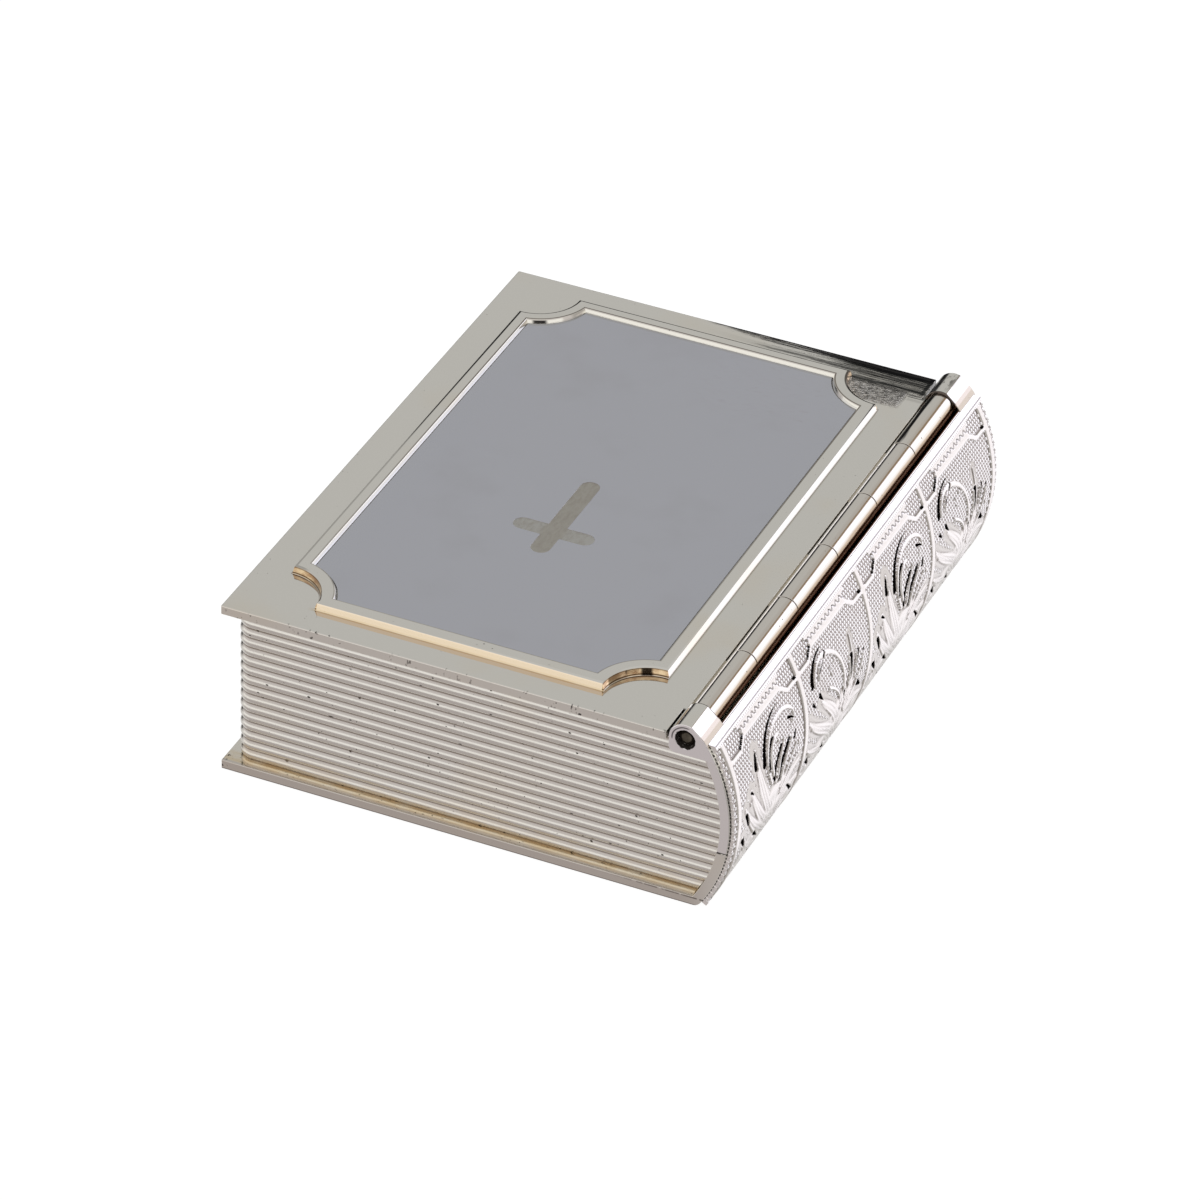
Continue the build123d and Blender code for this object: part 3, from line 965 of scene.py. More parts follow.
# %% [markdown]
# ### The scrolls
# Two scrolls take turns along the spine. Both start from a root low in the bay: a broad leaf leans up and
# over into a crook, fingers fan out from the root, and small berries fill the gaps. Each line below is
# one stroke: its handles in millimetres from the bay's left divider and from the lip, and its half widths
# at both ends.

# %% Relief: strokes of the two scrolls
broad_leaves = {
    "crook": [
        ([(11.4, 17.5), (7.0, 12.0), (5.0, 8.6), (5.5, 4.7)], 1.6, 0.25),
        ([(11.6, 17.8), (6.4, 14.2), (4.6, 11.2), (3.3, 8.2)], 1.4, 0.25),
        ([(11.0, 18.8), (7.0, 15.6), (3.6, 13.0), (1.7, 9.6)], 1.3, 0.3),
        ([(10.6, 19.8), (6.0, 18.0), (3.4, 16.0), (1.5, 13.0)], 1.2, 0.3),
        ([(9.0, 20.4), (6.0, 20.2), (3.0, 19.4), (1.4, 17.0)], 1.0, 0.3),
        ([(11.6, 16.6), (12.6, 12.8), (14.4, 12.6), (16.2, 12.2)], 1.2, 0.3),
        ([(12.0, 17.8), (13.6, 14.8), (15.0, 14.8), (16.6, 14.6)], 1.2, 0.3),
        ([(12.4, 19.2), (14.2, 17.2), (15.6, 17.4), (16.8, 17.2)], 1.1, 0.3),
    ],
    "curl": [
        ([(10.8, 18.0), (8.4, 14.0), (3.6, 12.6), (0.9, 9.6)], 1.6, 0.3),
        ([(10.8, 17.4), (10.0, 13.4), (6.4, 10.8), (4.3, 8.8)], 1.5, 0.3),
        ([(10.4, 18.8), (7.4, 16.8), (3.6, 15.6), (1.2, 13.4)], 1.3, 0.3),
        ([(9.8, 20.0), (6.0, 19.0), (3.2, 18.4), (1.3, 16.8)], 1.1, 0.3),
        ([(11.4, 16.4), (12.6, 14.6), (14.2, 14.2), (16.6, 15.2)], 1.2, 0.3),
        ([(12.0, 18.0), (13.4, 16.4), (15.0, 17.0), (16.8, 18.0)], 1.2, 0.3),
        ([(12.4, 13.4), (12.6, 10.0), (12.9, 8.4), (12.6, 5.4)], 0.7, 0.2),
    ],
}
ribs = {
    "crook": [
        ([(8.6, 10.4), (6.2, 6.2), (8.8, 3.1), (12.2, 3.4), (15.4, 3.6), (15.9, 5.9), (14.7, 6.4)],
         0.42, 0.24),
        ([(9.6, 10.9), (7.8, 7.2), (9.2, 5.5), (10.9, 5.8)], 0.34, 0.22),
        ([(10.2, 11.5), (10.2, 9.4), (11.2, 8.0), (12.2, 7.0)], 0.32, 0.2),
        ([(11.0, 12.0), (11.8, 9.8), (13.0, 8.8), (14.2, 8.0)], 0.32, 0.22),
        ([(11.4, 12.8), (12.8, 10.8), (14.2, 10.2), (15.2, 9.5)], 0.3, 0.2),
        ([(11.6, 13.6), (13.2, 12.0), (14.6, 11.4), (15.8, 11.0)], 0.3, 0.18),
    ],
    "curl": [
        ([(3.1, 6.1), (3.1, 3.4), (7.2, 2.6), (9.4, 5.0), (11.0, 7.0), (10.8, 10.4), (10.0, 13.0)],
         0.3, 0.42),
        ([(4.3, 6.0), (4.6, 4.6), (5.8, 4.2), (7.2, 4.4)], 0.28, 0.2),
        ([(11.0, 13.8), (11.6, 11.0), (12.2, 9.4), (12.0, 8.0)], 0.34, 0.24),
        ([(11.2, 14.2), (12.6, 12.0), (13.8, 10.4), (14.0, 8.4)], 0.34, 0.26),
        ([(11.6, 14.6), (13.4, 12.8), (15.0, 11.4), (15.7, 9.4)], 0.32, 0.26),
        ([(6.4, 8.4), (8.2, 9.4), (9.2, 10.6), (9.6, 12.2)], 0.26, 0.22),
    ],
}
cuts = {
    "crook": [
        ([(7.1, 7.4), (7.4, 4.6), (9.6, 3.3), (12.4, 3.0)], 0.42, 0.06),
        ([(8.2, 8.6), (8.0, 6.8), (8.8, 5.9), (9.8, 5.6)], 0.34, 0.1),
        ([(9.4, 10.4), (9.6, 9.0), (10.8, 8.0), (11.6, 7.4)], 0.44, 0.08),
        ([(10.6, 11.2), (11.0, 9.6), (12.6, 8.6), (13.5, 7.9)], 0.42, 0.2),
        ([(5.0, 6.5), (5.1, 5.5), (5.4, 4.8)], 0.34, 0.05),
        ([(14.9, 8.6), (15.2, 8.0)], 0.3, 0.16),
        ([(14.0, 5.7), (14.9, 6.1)], 0.2, 0.08),
        ([(2.0, 10.4), (2.8, 12.2)], 0.28, 0.1),
        ([(3.3, 8.4), (3.9, 8.9)], 0.2, 0.08),
        ([(1.7, 13.4), (2.6, 14.8)], 0.4, 0.1),
        ([(5.4, 15.0), (7.4, 16.8)], 0.3, 0.08),
        ([(13.8, 14.2), (16.4, 16.6)], 0.1, 0.26),
    ],
    "curl": [
        ([(2.5, 6.0), (2.7, 4.2), (4.4, 3.3), (6.2, 3.1)], 0.36, 0.06),
        ([(4.7, 5.4), (5.6, 4.9), (6.6, 3.9)], 0.26, 0.1),
        ([(12.6, 8.1), (12.4, 9.8), (11.8, 11.2)], 0.46, 0.12),
        ([(14.4, 8.6), (14.0, 10.4), (12.4, 12.4)], 0.4, 0.08),
        ([(15.9, 9.2), (15.5, 10.3)], 0.22, 0.1),
        ([(10.6, 11.2), (10.4, 12.2)], 0.3, 0.1),
        ([(2.2, 8.0), (2.7, 8.6)], 0.24, 0.1),
        ([(4.0, 7.9), (4.6, 8.7)], 0.32, 0.1),
        ([(14.9, 13.0), (16.0, 13.9)], 0.42, 0.14),
        ([(1.8, 15.0), (2.8, 16.2)], 0.34, 0.1),
        ([(6.8, 16.4), (8.6, 18.0)], 0.32, 0.1),
    ],
}
berries = {
    "crook": [(10.9, 6.6, 0.3), (14.2, 6.9, 0.26), (15.9, 9.9, 0.34), (3.0, 9.6, 0.24)],
    "curl": [(7.2, 6.3, 0.26), (8.3, 6.0, 0.3), (7.3, 7.2, 0.26), (1.6, 10.6, 0.3), (15.8, 11.6, 0.3)],
}
root_fan = (10.4, 22.6)
root_reach = 11.6
web_reach = 0.3
root_cuts = [(turn, reach) for reach, turns in ((3.4, (-52, -24, 8, 36, 58)), (6.0, (-64, -44, 50, 66)))
             for turn in turns]
for kind in broad_leaves:
    print(f"{kind}: {len(broad_leaves[kind])} leaves, {len(ribs[kind])} ribs, {len(cuts[kind])} cuts, "
          f"{len(berries[kind])} berries")

# %% [markdown]
# ### The ground of dots
# Behind the scrolls the die is matted with rows of fine dots. Three waves that cross each other add up to
# such a lattice, so no dot needs a shape of its own. Their lengths are tied to the grid's steps, so that
# the rows of dots don't drift against its points.

# %% Relief: ground
dot_pitch_along = 4 * (panel_high[1] - panel_low[1]) / columns
dot_pitch_down = 7.5 * panel_drop / rows
wave_along = np.cos(2 * np.pi * (along_y - panel_low[1]) / dot_pitch_along)
wave_down = 2 * np.pi * down_v / dot_pitch_down
dots = np.clip((1 + np.cos(2 * wave_down) + 2 * wave_along * np.cos(wave_down)) / 4, 0, 1)
dot_height = 0.1
height = dot_height * dots
blackened = np.zeros_like(height)
bay_of = np.clip(((along_y - divider_places[0]) // divider_pitch).astype(int), 0, divider_count - 2)
in_bay = along_y - np.array(divider_places)[bay_of]
print(f"dots every {dot_pitch_along:.2f} mm along the book, {dot_pitch_down:.2f} mm down")

# %% [markdown]
# ### Adding the layers
# Higher layers win over lower ones, so most layers are joined by taking the greater height. Cuts go the
# other way. Veins are fine ripples that follow the broad leaves.

# %% Relief: the scrolls of one bay
leaf_rim = 0.03
leaf_dome = 0.13
leaf_vein = 0.03
rib_height = 0.235
berry_height = 0.22
cut_width = 1.1
cut_depth = 0.12
root_rise = 0.6


def leafy_root(across, down):
    """Height of a lobed mound that spreads up from the root, with a vein down each lobe."""
    turn = np.arctan2(across - root_fan[0], root_fan[1] + root_rise - down)
    reach = np.hypot(across - root_fan[0], root_fan[1] + root_rise - down)
    lobe = np.abs(np.cos(turn * 3.6))
    edge = root_reach + 1.3 * lobe - 2.2 * np.abs(turn)
    inside = np.clip(1 - (reach / edge) ** 6, 0, 1)
    swell = 0.07 + 0.07 * lobe ** 0.6 + 0.012 * np.cos(turn * 44)
    rings = 0.03 * np.cos(2 * np.pi * (reach + 1.2 * lobe) / 3.1)
    return np.where(inside > 0, (swell + rings) * np.minimum(1, 2.5 * inside), 0)


def paint_bay(bay, kind):
    """Add one bay's scroll to the relief."""
    place = bay_of == bay
    columns_here = np.where(place.any(axis=1))[0]
    window = slice(columns_here[0], columns_here[-1] + 1)
    across, down, level, dark = in_bay[window], down_v[window], height[window], blackened[window]
    figure = leafy_root(across, down)
    for handles, start, end in broad_leaves[kind]:
        reach, distance = stroke(across, down, handles, start, end)
        dome = np.sqrt(np.clip(1 - reach ** 2, 0, 1))
        veins = leaf_vein * np.cos(2 * np.pi * distance / 0.52) * dome
        web_edge = web_reach + (start + end) / 2 + 0.18 * np.cos(2 * np.pi * (across + down) / 1.5)
        web = np.where(distance < web_edge, 0.05 + 0.006 * np.cos(2 * np.pi * distance / 0.42), 0)
        leaf = np.where(reach < 1, leaf_rim + leaf_dome * dome + veins, web)
        np.maximum(figure, leaf, out=figure)
    for handles, start, end in ribs[kind]:
        reach, _ = stroke(across, down, handles, start, end)
        np.maximum(figure, rib_height * np.sqrt(np.clip(1 - reach ** 2, 0, 1)), out=figure)
    for x, y, radius in berries[kind]:
        reach = np.hypot(across - x, down - y) / radius
        np.maximum(figure, berry_height * np.sqrt(np.clip(1 - reach ** 2, 0, 1)), out=figure)
    level[:] = np.where(figure > 0.015, figure, level)
    root_strokes = []
    for turn, reach in root_cuts:
        lean = (math.sin(math.radians(turn)), -math.cos(math.radians(turn)))
        root_strokes.append(([(root_fan[0] + length * lean[0], root_fan[1] + length * lean[1])
                              for length in (reach, reach + 1.1)], 0.2, 0.07))
    for handles, start, end in cuts[kind] + root_strokes:
        reach, _ = stroke(across, down, handles, cut_width * start, cut_width * end)
        depth = np.clip(1 - reach ** 2, 0, 1)
        level[:] = level * (1 - np.minimum(1, 2 * depth)) - cut_depth * depth
        np.maximum(dark, np.clip(2.4 * (1 - reach), 0, 1), out=dark)


for bay in range(divider_count - 1):
    paint_bay(bay, ("crook", "curl")[bay % 2])
print(f"cuts blacken {float((blackened > 0.5).mean()):.3f} of the plate")

# %% [markdown]
# ### Straps and windows
# A thin strap steps down and up along the top of each bay. Above it lies a flat band with a zigzag line,
# and small windows open to the dotted ground beside each divider. The strap is found by its distance from
# a line with straight stretches, so it keeps one width round its bends.

# %% Relief: straps and windows
strap_line = [(0.3, 3.05), (2.9, 3.05), (4.4, 1.95), (13.6, 1.95), (15.1, 3.05), (17.7, 3.05)]
strap_half_width = 0.28
window_dark_width = 0.14
strap_height = 0.225
zigzag_pitch = 0.95
zigzag_middle = 1.22
zigzag_swing = 0.26
zigzag_ends = (3.8, 14.2)
raised_panel_ends = (3.6, 14.4)
window_ends = (4.2, 13.8)


def distance_to_line(across, down, corners):
    """Distance of each place from a line with straight stretches."""
    best = np.full(across.shape, 1e3)
    for (x0, y0), (x1, y1) in zip(corners, corners[1:]):
        length = math.dist((x0, y0), (x1, y1))
        share = np.clip(((across - x0) * (x1 - x0) + (down - y0) * (y1 - y0)) / length ** 2, 0, 1)
        best = np.minimum(best, np.hypot(across - x0 - share * (x1 - x0), down - y0 - share * (y1 - y0)))
    return best


strap_gap = distance_to_line(in_bay, down_v, strap_line)
inside_ends = (along_y > divider_places[0]) & (along_y < divider_places[-1])
above_strap = inside_ends & (down_v < np.interp(in_bay, *zip(*strap_line)))
above_strap = above_strap & (strap_gap > strap_half_width - 0.1)
in_window = above_strap & ((in_bay < window_ends[0]) | (in_bay > window_ends[1])) & (down_v > 1.0)
strap = np.where(inside_ends, strap_height * rounded_step(strap_gap, strap_half_width, 0.16), 0)
over_strap = above_strap & ~in_window
height = np.where(in_window | over_strap, dot_height * dots, height)
height = np.maximum(height, strap)
zigzag_wave = np.arcsin(np.sin(2 * np.pi * in_bay / zigzag_pitch))
zigzag_down = zigzag_middle + zigzag_swing * (2 / np.pi) * zigzag_wave
zigzag = rounded_step(np.abs(down_v - zigzag_down), 0.07, 0.1) * over_strap
zigzag = zigzag * (in_bay > zigzag_ends[0]) * (in_bay < zigzag_ends[1])
raised_panel = over_strap & (in_bay > raised_panel_ends[0]) & (in_bay < raised_panel_ends[1])
height = np.where(raised_panel, 0.2 - 0.14 * zigzag, height)
window_edge = np.clip(1 - (strap_gap - strap_half_width) / window_dark_width, 0, 1)
right_side = (in_bay > 2.8) & (in_bay < 4.3) | (in_bay > 16.8)
blackened = np.maximum(blackened, 0.8 * np.where(in_window & right_side & (down_v > 1.8), window_edge, 0))
print(f"straps stand {float(strap.max()):.3f} mm above the plate")

# %% [markdown]
# ### Dividers and borders
# Round bars part the bays, and a plain border runs along both long edges, the upper one with a line of
# beads. They stand as high as the relief goes and cover whatever ran under them. Where the metal has
# hollows and crests is then measured against its own softened shape, for the finish to darken the hollows,
# as tarnish and painted shade, and to paint highlights on the crests.

# %% Relief: dividers and borders
nearest_divider = np.min([np.abs(along_y - place) for place in divider_places], axis=0)
ridge = 0.9 * relief_depth * np.sqrt(np.clip(1 - (nearest_divider / half_divider) ** 2, 0, 1))
lower_border = relief_depth * rounded_step(panel_drop - down_v, border_height - 0.1, 0.2)
upper_border = relief_depth * rounded_step(down_v, border_height - 0.1, 0.12)
beads = 0.5 + 0.5 * np.cos(2 * np.pi * (along_y - panel_low[1]) / (3 * dot_pitch_along / 4))
bead_line_down = 0.46
bead_line = rounded_step(np.abs(down_v - bead_line_down), 0.06, 0.12)
upper_border = upper_border - 0.07 * bead_line * beads * (upper_border > 0.2)
height = np.maximum.reduce([height, ridge, lower_border, upper_border])
blackened = np.where(np.maximum.reduce([ridge, upper_border, lower_border]) > 0.1, 0, blackened)
height = np.clip(height, -0.14, relief_depth)
dotted = np.isclose(height, dot_height * dots)


def softened(values, reach):
    """Values averaged over a square that reaches this many grid steps each way."""
    for axis in (0, 1):
        values = np.mean([np.roll(values, shift, axis) for shift in range(-reach, reach + 1)], axis=0)
    return values


plain_ground = np.where(dotted, dot_height * 0.45, height)
hollow = np.clip((softened(plain_ground, 2) - plain_ground) / 0.04, 0, 1)
crest = np.clip((plain_ground - softened(plain_ground, 2)) / 0.05, 0, 1)
print(f"dotted share {float(dotted.mean()):.3f}, hollow share {float((hollow > 0.5).mean()):.3f}")

# %% [markdown]
# ### Bending the plate
# Each row of the grid becomes a direction from the spine's axis, and the height is added to the radius. A
# back and four narrow sides close the plate, so that it is a solid sheet like the rest.

# %% Relief: bend the grid round the spine
turns = panel_turn_top - (panel_turn_top - panel_turn_foot) * down_v / panel_drop
radii = skin_radius + height
relief_points = np.stack([spine_axis[0] + radii * np.cos(turns), along_y,
                          spine_axis[1] + radii * np.sin(turns)], axis=-1).reshape(-1, 3)
back_turns = turns[0].copy()
back_turns[0] = math.radians(turn_at(lip_z, spine_radius))
back_points = [(spine_axis[0] + spine_radius * math.cos(turn), y,
                spine_axis[1] + spine_radius * math.sin(turn))
               for y in (panel_low[1], panel_high[1]) for turn in back_turns]
front = np.arange((columns + 1) * (rows + 1)).reshape(columns + 1, rows + 1)
back_first = front.size
grid_corners = [front[:-1, :-1], front[1:, :-1], front[1:, 1:], front[:-1, 1:]]
panel_faces = np.stack(grid_corners, -1).reshape(-1, 4).tolist()
for level in range(rows):
    near_back, far_back = back_first + level, back_first + rows + 1 + level
    panel_faces.append((near_back, near_back + 1, far_back + 1, far_back))
    panel_faces.append((int(front[0, level]), int(front[0, level + 1]), near_back + 1, near_back))
    panel_faces.append((int(front[-1, level]), int(front[-1, level + 1]), far_back + 1, far_back))
for level in (0, rows):
    panel_faces.append(tuple(front[:, level].tolist()) + (back_first + rows + 1 + level, back_first + level))
spine_panel = mesh_object("spine_panel_embossed", (np.concatenate([relief_points, back_points]).tolist(),
                                                   panel_faces), crisp=50)
on_the_back = np.zeros(len(back_points))
marks = {"blackened": blackened, "relief": height / relief_depth, "dotted": dotted, "hollow": hollow,
         "crest": crest}
for name, values in marks.items():
    mark = spine_panel.data.attributes.new(name, "FLOAT", "POINT")
    mark.data.foreach_set("value", np.concatenate([values.ravel(), on_the_back]).astype(np.float32))
print(f"blackened share {float((blackened > 0.5).mean()):.3f}, highest {float(height.max()):.3f} mm")

# %% [markdown]
# ## Silver plate
# Silver plate on a stamped box is never quite clean. It has a haze of fine wiping scratches, tiny black
# pits where the plating is porous, and a warm film where fingers don't rub. All of these are masks that
# change the colour and the roughness of one metal.

# %% Silver plate, as used on the covers
silver = srgb(239, 237, 230)
warm_silver = srgb(240, 228, 206)
cream = srgb(246, 228, 202)
gold_stain_and_reflection = srgb(226, 202, 158)
black_pits_and_shade = srgb(40, 34, 30)
painted_dark_brown = srgb(120, 84, 52)
gap_shade_brown = srgb(150, 108, 86)
painted_black = srgb(26, 25, 23)
bright_silver = srgb(254, 252, 250)


def plated(finish, place, tone, roughness, film=0.3, pit_share=0.2, pit_size=1.3, pit_radius=0.085):
    """Start a finish as worn silver plate, and give its roughness and the mask of its pits."""
    cloud = finish.noise(place, 0.09, 3)
    filmed = finish.step(cloud, 0.5, 0.75) * film
    finish.colour = finish.blend(filmed, tone, warm_silver)
    pits = finish.specks(place, pit_size, pit_share, pit_radius)
    small_pits = finish.specks(place, pit_size * 0.37, pit_share * 0.35, pit_radius * 0.5)
    pits = pits.wider(small_pits)
    finish.stain(pits * 0.92, black_pits_and_shade)
    wiped = finish.noise(finish.stretched(place, 3.0, 0.35, 3.0), 2.2, 4)
    rough = wiped * 0.05 + roughness + pits * 0.4
    waves = finish.noise(place, 0.16, 1)
    finish.bend(waves, 0.02)
    finish.bend(wiped, 0.0007)
    finish.bend(1 - pits, 0.02)
    return rough, pits


def box_mask(finish, x, y, low, high, soft):
    """1 inside a rectangle of the (x, y) plane."""
    return finish.between(x, low[0], high[0], soft) * finish.between(y, low[1], high[1], soft)


print("silver gives back", tuple(round(part, 2) for part in silver), "of the light")

# %% [markdown]
# ### The front cover
# The cover and its frame share one finish, because stains and painted reflections run over both. Much
# of the look lies in lines: a painted dark line where the frame meets the cover and along its outer top
# edge, a shadow line inside its edge.
# The distance in from the scooped outline, worked out once, places all of them.

# %% Cover finish: lines of the frame
cover_finish, cover = new_finish("cover_silver")
place = cover.place()
x, y, z = cover.axes(place)
rough, pits = plated(cover, place, silver, 0.045)

frame_low, frame_high = plate_low - frame_band - plate_seam, plate_high + frame_band + plate_seam
# Painted reflection: the frame's near outer wall is tinted cream for the light it reflects.
near_wall = cover.step(z, lid_top + 0.02, lid_top + 0.06) * cover.under(y, frame_low[1] - 0.02, frame_low[1])
cover.stain(near_wall * 0.9, cream)
# Painted reflection: a smeared gold band on the cover at the foot of the near wall stands in for the wall's
# reflection.
near_foot = cover.between(y, frame_low[1] - 0.4, frame_low[1], 0.1) * cover.between(
    x, frame_low[0] + 5, frame_high[0] - 5, 1.0) * cover.under(z, lid_top + 0.12, lid_top + 0.24)
reflection_smear = cover.noise(cover.stretched(place, 0.3, 1, 1), 1.6, 3)
cover.stain(near_foot * (reflection_smear * 0.5 + 0.1), gold_stain_and_reflection)
hem = cover.step(z, lid_top + 0.02, lid_top + 0.1) * cover.under(z, frame_top - 0.03, frame_top)
past_x = (x - plate_middle[0]).absolute() - frame_half[0]
past_y = y.absolute() - frame_half[1]
from_corner = (past_x * past_x + past_y * past_y).root() - scoop_radius
inset = (0 - past_x).narrower(0 - past_y).narrower(from_corner)
on_frame = cover.step(z, frame_top - 0.16, frame_top - 0.12)
far_bar = cover.step(y, frame_high[1] - scoop_radius - 0.6, frame_high[1] - scoop_radius)
left_bar = cover.under(x, frame_low[0] + 1, frame_low[0] + 2)
# Painted reflection: a dark line along the frame's outer top edge, strong on the far bar and faint on the
# left bar, for the dark horizon that the edge reflects.
outer_line = cover.between(inset, 0.02, 0.24, 0.05) * on_frame * (far_bar * 0.85).wider(left_bar * 0.35)
# Painted shade: a brown line on the cover along the foot of the frame's wall, away from the near side.
foot_line = cover.between(inset, -frame_draft - 0.1, -frame_draft - 0.04, 0.04) * (
    cover.under(z, lid_top + 0.03, lid_top + 0.06)) * cover.step(y, frame_low[1] + 0.5, frame_low[1] + 3)
cover.stain(foot_line * 0.5, srgb(104, 82, 60))
inner_line = cover.between(inset, frame_band - 0.3, frame_band - 0.2, 0.04) * on_frame
cover.stain(outer_line, srgb(70, 60, 50))
cover.stain(inner_line * (cover.step(y, -34, 20) * 0.4 + 0.35), srgb(96, 78, 60))
print("cover finish so far:", len(cover.tree.nodes), "nodes")

# %% [markdown]
# ### Walls that no cloth reaches
# The scooped corners and the wall round the engraving plate are too narrow for a polishing cloth. They
# have turned gold and brown. A darker line at the top and the foot of the wall is painted shade.

# %% Cover finish: scoops and inner walls
scoop_wall = cover.between(z, lid_top + 0.05, frame_top - 0.1, 0.03) * cover.under(inset, 0, 0.03) * (
    cover.under(from_corner, 0.0, 0.03))
gilded = cover.step(cover.noise(cover.stretched(place, 1, 1, 3), 0.8, 4, 0.6), 0.36, 0.64)
scoop_gold = cover.blend(gilded, srgb(178, 134, 82), srgb(240, 212, 168))
cover.stain(scoop_wall * 0.85, scoop_gold)
# Painted shade: darker lines along the foot and the top of the scoop walls.
wall_shade_lines = cover.between(z, lid_top + 0.1, lid_top + 0.2, 0.05).wider(
    cover.between(z, frame_top - 0.2, frame_top - 0.14, 0.05) * 0.7)
cover.stain(scoop_wall * wall_shade_lines * 0.85, srgb(62, 40, 24))
inner_wall = box_mask(cover, x, y, (frame_low[0] + 1, frame_high[0] - 1),
                      (frame_low[1] + 1, frame_high[1] - 1), 0.2)
seam_shade = inner_wall * cover.under(z, plate_high[2] + 0.01, plate_high[2] + 0.09)
cover.stain(seam_shade * cover.step(z, lid_top + 0.02, lid_top + 0.1) * 0.9, painted_dark_brown)
cover.stain(hem * inner_wall * 0.35, cream)
print("cover finish so far:", len(cover.tree.nodes), "nodes")

# %% [markdown]
# ### The cover's edges
# Plating wears through first on an edge. The near edge has black spots in a few places, and the gap
# beside the ears of the hinge is painted black as its shade.

# %% Cover finish: edges
edge_spots = cover.step(cover.noise(cover.stretched(place, 1, 0.25, 0.7), 2.1, 4), 0.64, 0.68)
near_edge = cover.under(y, -end_y + 0.12, -end_y + 0.32)
along_edge = cover.step(cover.noise(cover.stretched(place, 1, 0, 0), 0.14, 1), 0.42, 0.58)
cover.stain(edge_spots * near_edge * along_edge * 0.9, black_pits_and_shade)

# Painted shade: the cover's edge in the deep gap beside each ear is black, with breaks.
beside_ear = cover.step(x, lid_edge_at_ears - 0.05, lid_edge_at_ears - 0.01) * cover.step(
    y.absolute(), leaf_end - 0.3, leaf_end) * cover.under(y.absolute(), end_y - 0.2, end_y - 0.1)
gap_breaks = cover.step(cover.noise(cover.stretched(place, 1, 1, 0.3), 1.2, 2), 0.26, 0.36)
cover.stain(beside_ear * gap_breaks * 0.95, black_pits_and_shade)
print("cover finish so far:", len(cover.tree.nodes), "nodes")

# %% [markdown]
# ### The far strip
# Between the frame and the far edge the cover is uneven, more so towards the hinge, and mottled dark in its
# far corner. Noise that is drawn out along the strip gives streaks and darker bands, which are painted
# reflections of dark parts of the room; the black along the edge by the far ear is painted shade. The
# surface also rolls off towards the edge and sags a little, which a wide, shallow bend of the normal shows.

# %% Cover finish: far strip
streaks = cover.noise(cover.stretched(place, 0.05, 1, 0.2), 3.0, 3, 0.6)
far_side = cover.step(y, frame_high[1] - 1.5, frame_high[1] + 1.2)
on_cover = cover.under(z, lid_top + 0.02, lid_top + 0.1)
towards_hinge = cover.step(x, -8, 16)
cover.bend(streaks * far_side * towards_hinge * on_cover, 0.2)
bands = cover.noise(cover.stretched(place, 0.035, 1, 0.2), 0.85, 2, 0.5)
# Painted reflection: grey streaks on the far strip for dark parts of the room.
reflected_streaks = cover.step(bands + (streaks - 0.5) * 0.5, 0.47, 0.56) * far_side * towards_hinge * on_cover
cover.stain(reflected_streaks * 0.45, srgb(78, 76, 74))
wander = (cover.noise(cover.stretched(place, 1, 0.2, 1), 0.35, 2) - 0.5) * 0.7
across_strip = y + wander
# Painted reflections: black bands along the far strip stand in for dark things reflected there.
for band_y, half_band, starts, strength in ((end_y - 0.1, 0.16, -8, 0.95), (end_y - 1.05, 0.28, 8, 0.95),
                                            (end_y - 2.2, 0.07, 0, 0.6), (end_y - 3.5, 0.13, 4, 0.92)):
    band = cover.between(across_strip, band_y - half_band, band_y + half_band, 0.16) * cover.step(
        x + streaks * 10, starts + 5, starts + 9) * on_cover
    cover.stain(band * strength, painted_black)
# Painted shade: black along the cover's edge in the corner by the far ear.
corner_edge = cover.between(x, lid_edge_at_ears - 0.5, lid_edge_at_ears - 0.2, 0.1) * cover.step(
    y, end_y - 4.2, end_y - 3.4) * on_cover
cover.stain(corner_edge * 0.95, painted_black)
# Painted reflection: a dull grey strip in from the far edge.
dark_strip = cover.step(y, end_y - 3.7, end_y - 3.5) * cover.step(x + streaks * 6, 10, 16) * on_cover
cover.stain(dark_strip * 0.35, srgb(96, 98, 94))
far_corner = box_mask(cover, x, y, (9.5, 30.4), (19.2, 33.0), 0.8)
grain = cover.noise(cover.stretched(place, 0.7, 1.4, 1), 3.4, 5, 0.7)
cover.bend(grain * far_corner * on_cover, 0.25)
mottled = cover.step(grain, 0.45, 0.6) * far_corner * on_cover
cover.stain(mottled * 0.75, srgb(66, 64, 60))
roll_off = cover.step(y, end_y - 1.3, end_y + 0.6) * cover.step(x, -16, 22)
cover.bend(1 - roll_off * on_cover, 0.8)
sag = cover.step(y, frame_high[1] - 3.4, end_y + 5) * cover.step(x, 4, 18)
cover.bend(1 - sag * on_cover, 2.6)
cover.metal(rough, 1 - pits * 0.8)

for piece in (front_cover, cover_frame):
    fit(piece, "front_cover", "lid", cover_finish)

# %% [markdown]
# ### The board
# The back cover shows its front edge and the ledge below the pages, where polish and dust have gathered
# into a golden stain. Its seam with the spine shell holds a little black.

# %% Back cover finish
board_finish, board = new_finish("board_silver")
place = board.place()
x, y, z = board.axes(place)
rough, pits = plated(board, place, silver, 0.06, pit_share=0.35)
ledge = board.between(z, cover_thickness - 0.04, cover_thickness + 1, 0.02)
near_ledge = ledge * board.under(y, -end_y + 1.7, -end_y + 2.4) * board.step(y, -end_y + 0.15, -end_y + 0.5)
patchy = board.noise(board.stretched(place, 0.35, 1, 1), 0.9, 4)
board.stain(near_ledge * (board.step(patchy, 0.3, 0.62) * 0.4 + 0.2), gold_stain_and_reflection)
specks = board.step(board.noise(board.stretched(place, 0.7, 1, 1), 3.4, 3), 0.66, 0.7)
board.stain(specks * near_ledge, black_pits_and_shade)
seam = board.step(z, curl_height - 0.16, curl_height - 0.05)
seam_breaks = board.step(board.noise(place, 1.5, 2), 0.4, 0.55)
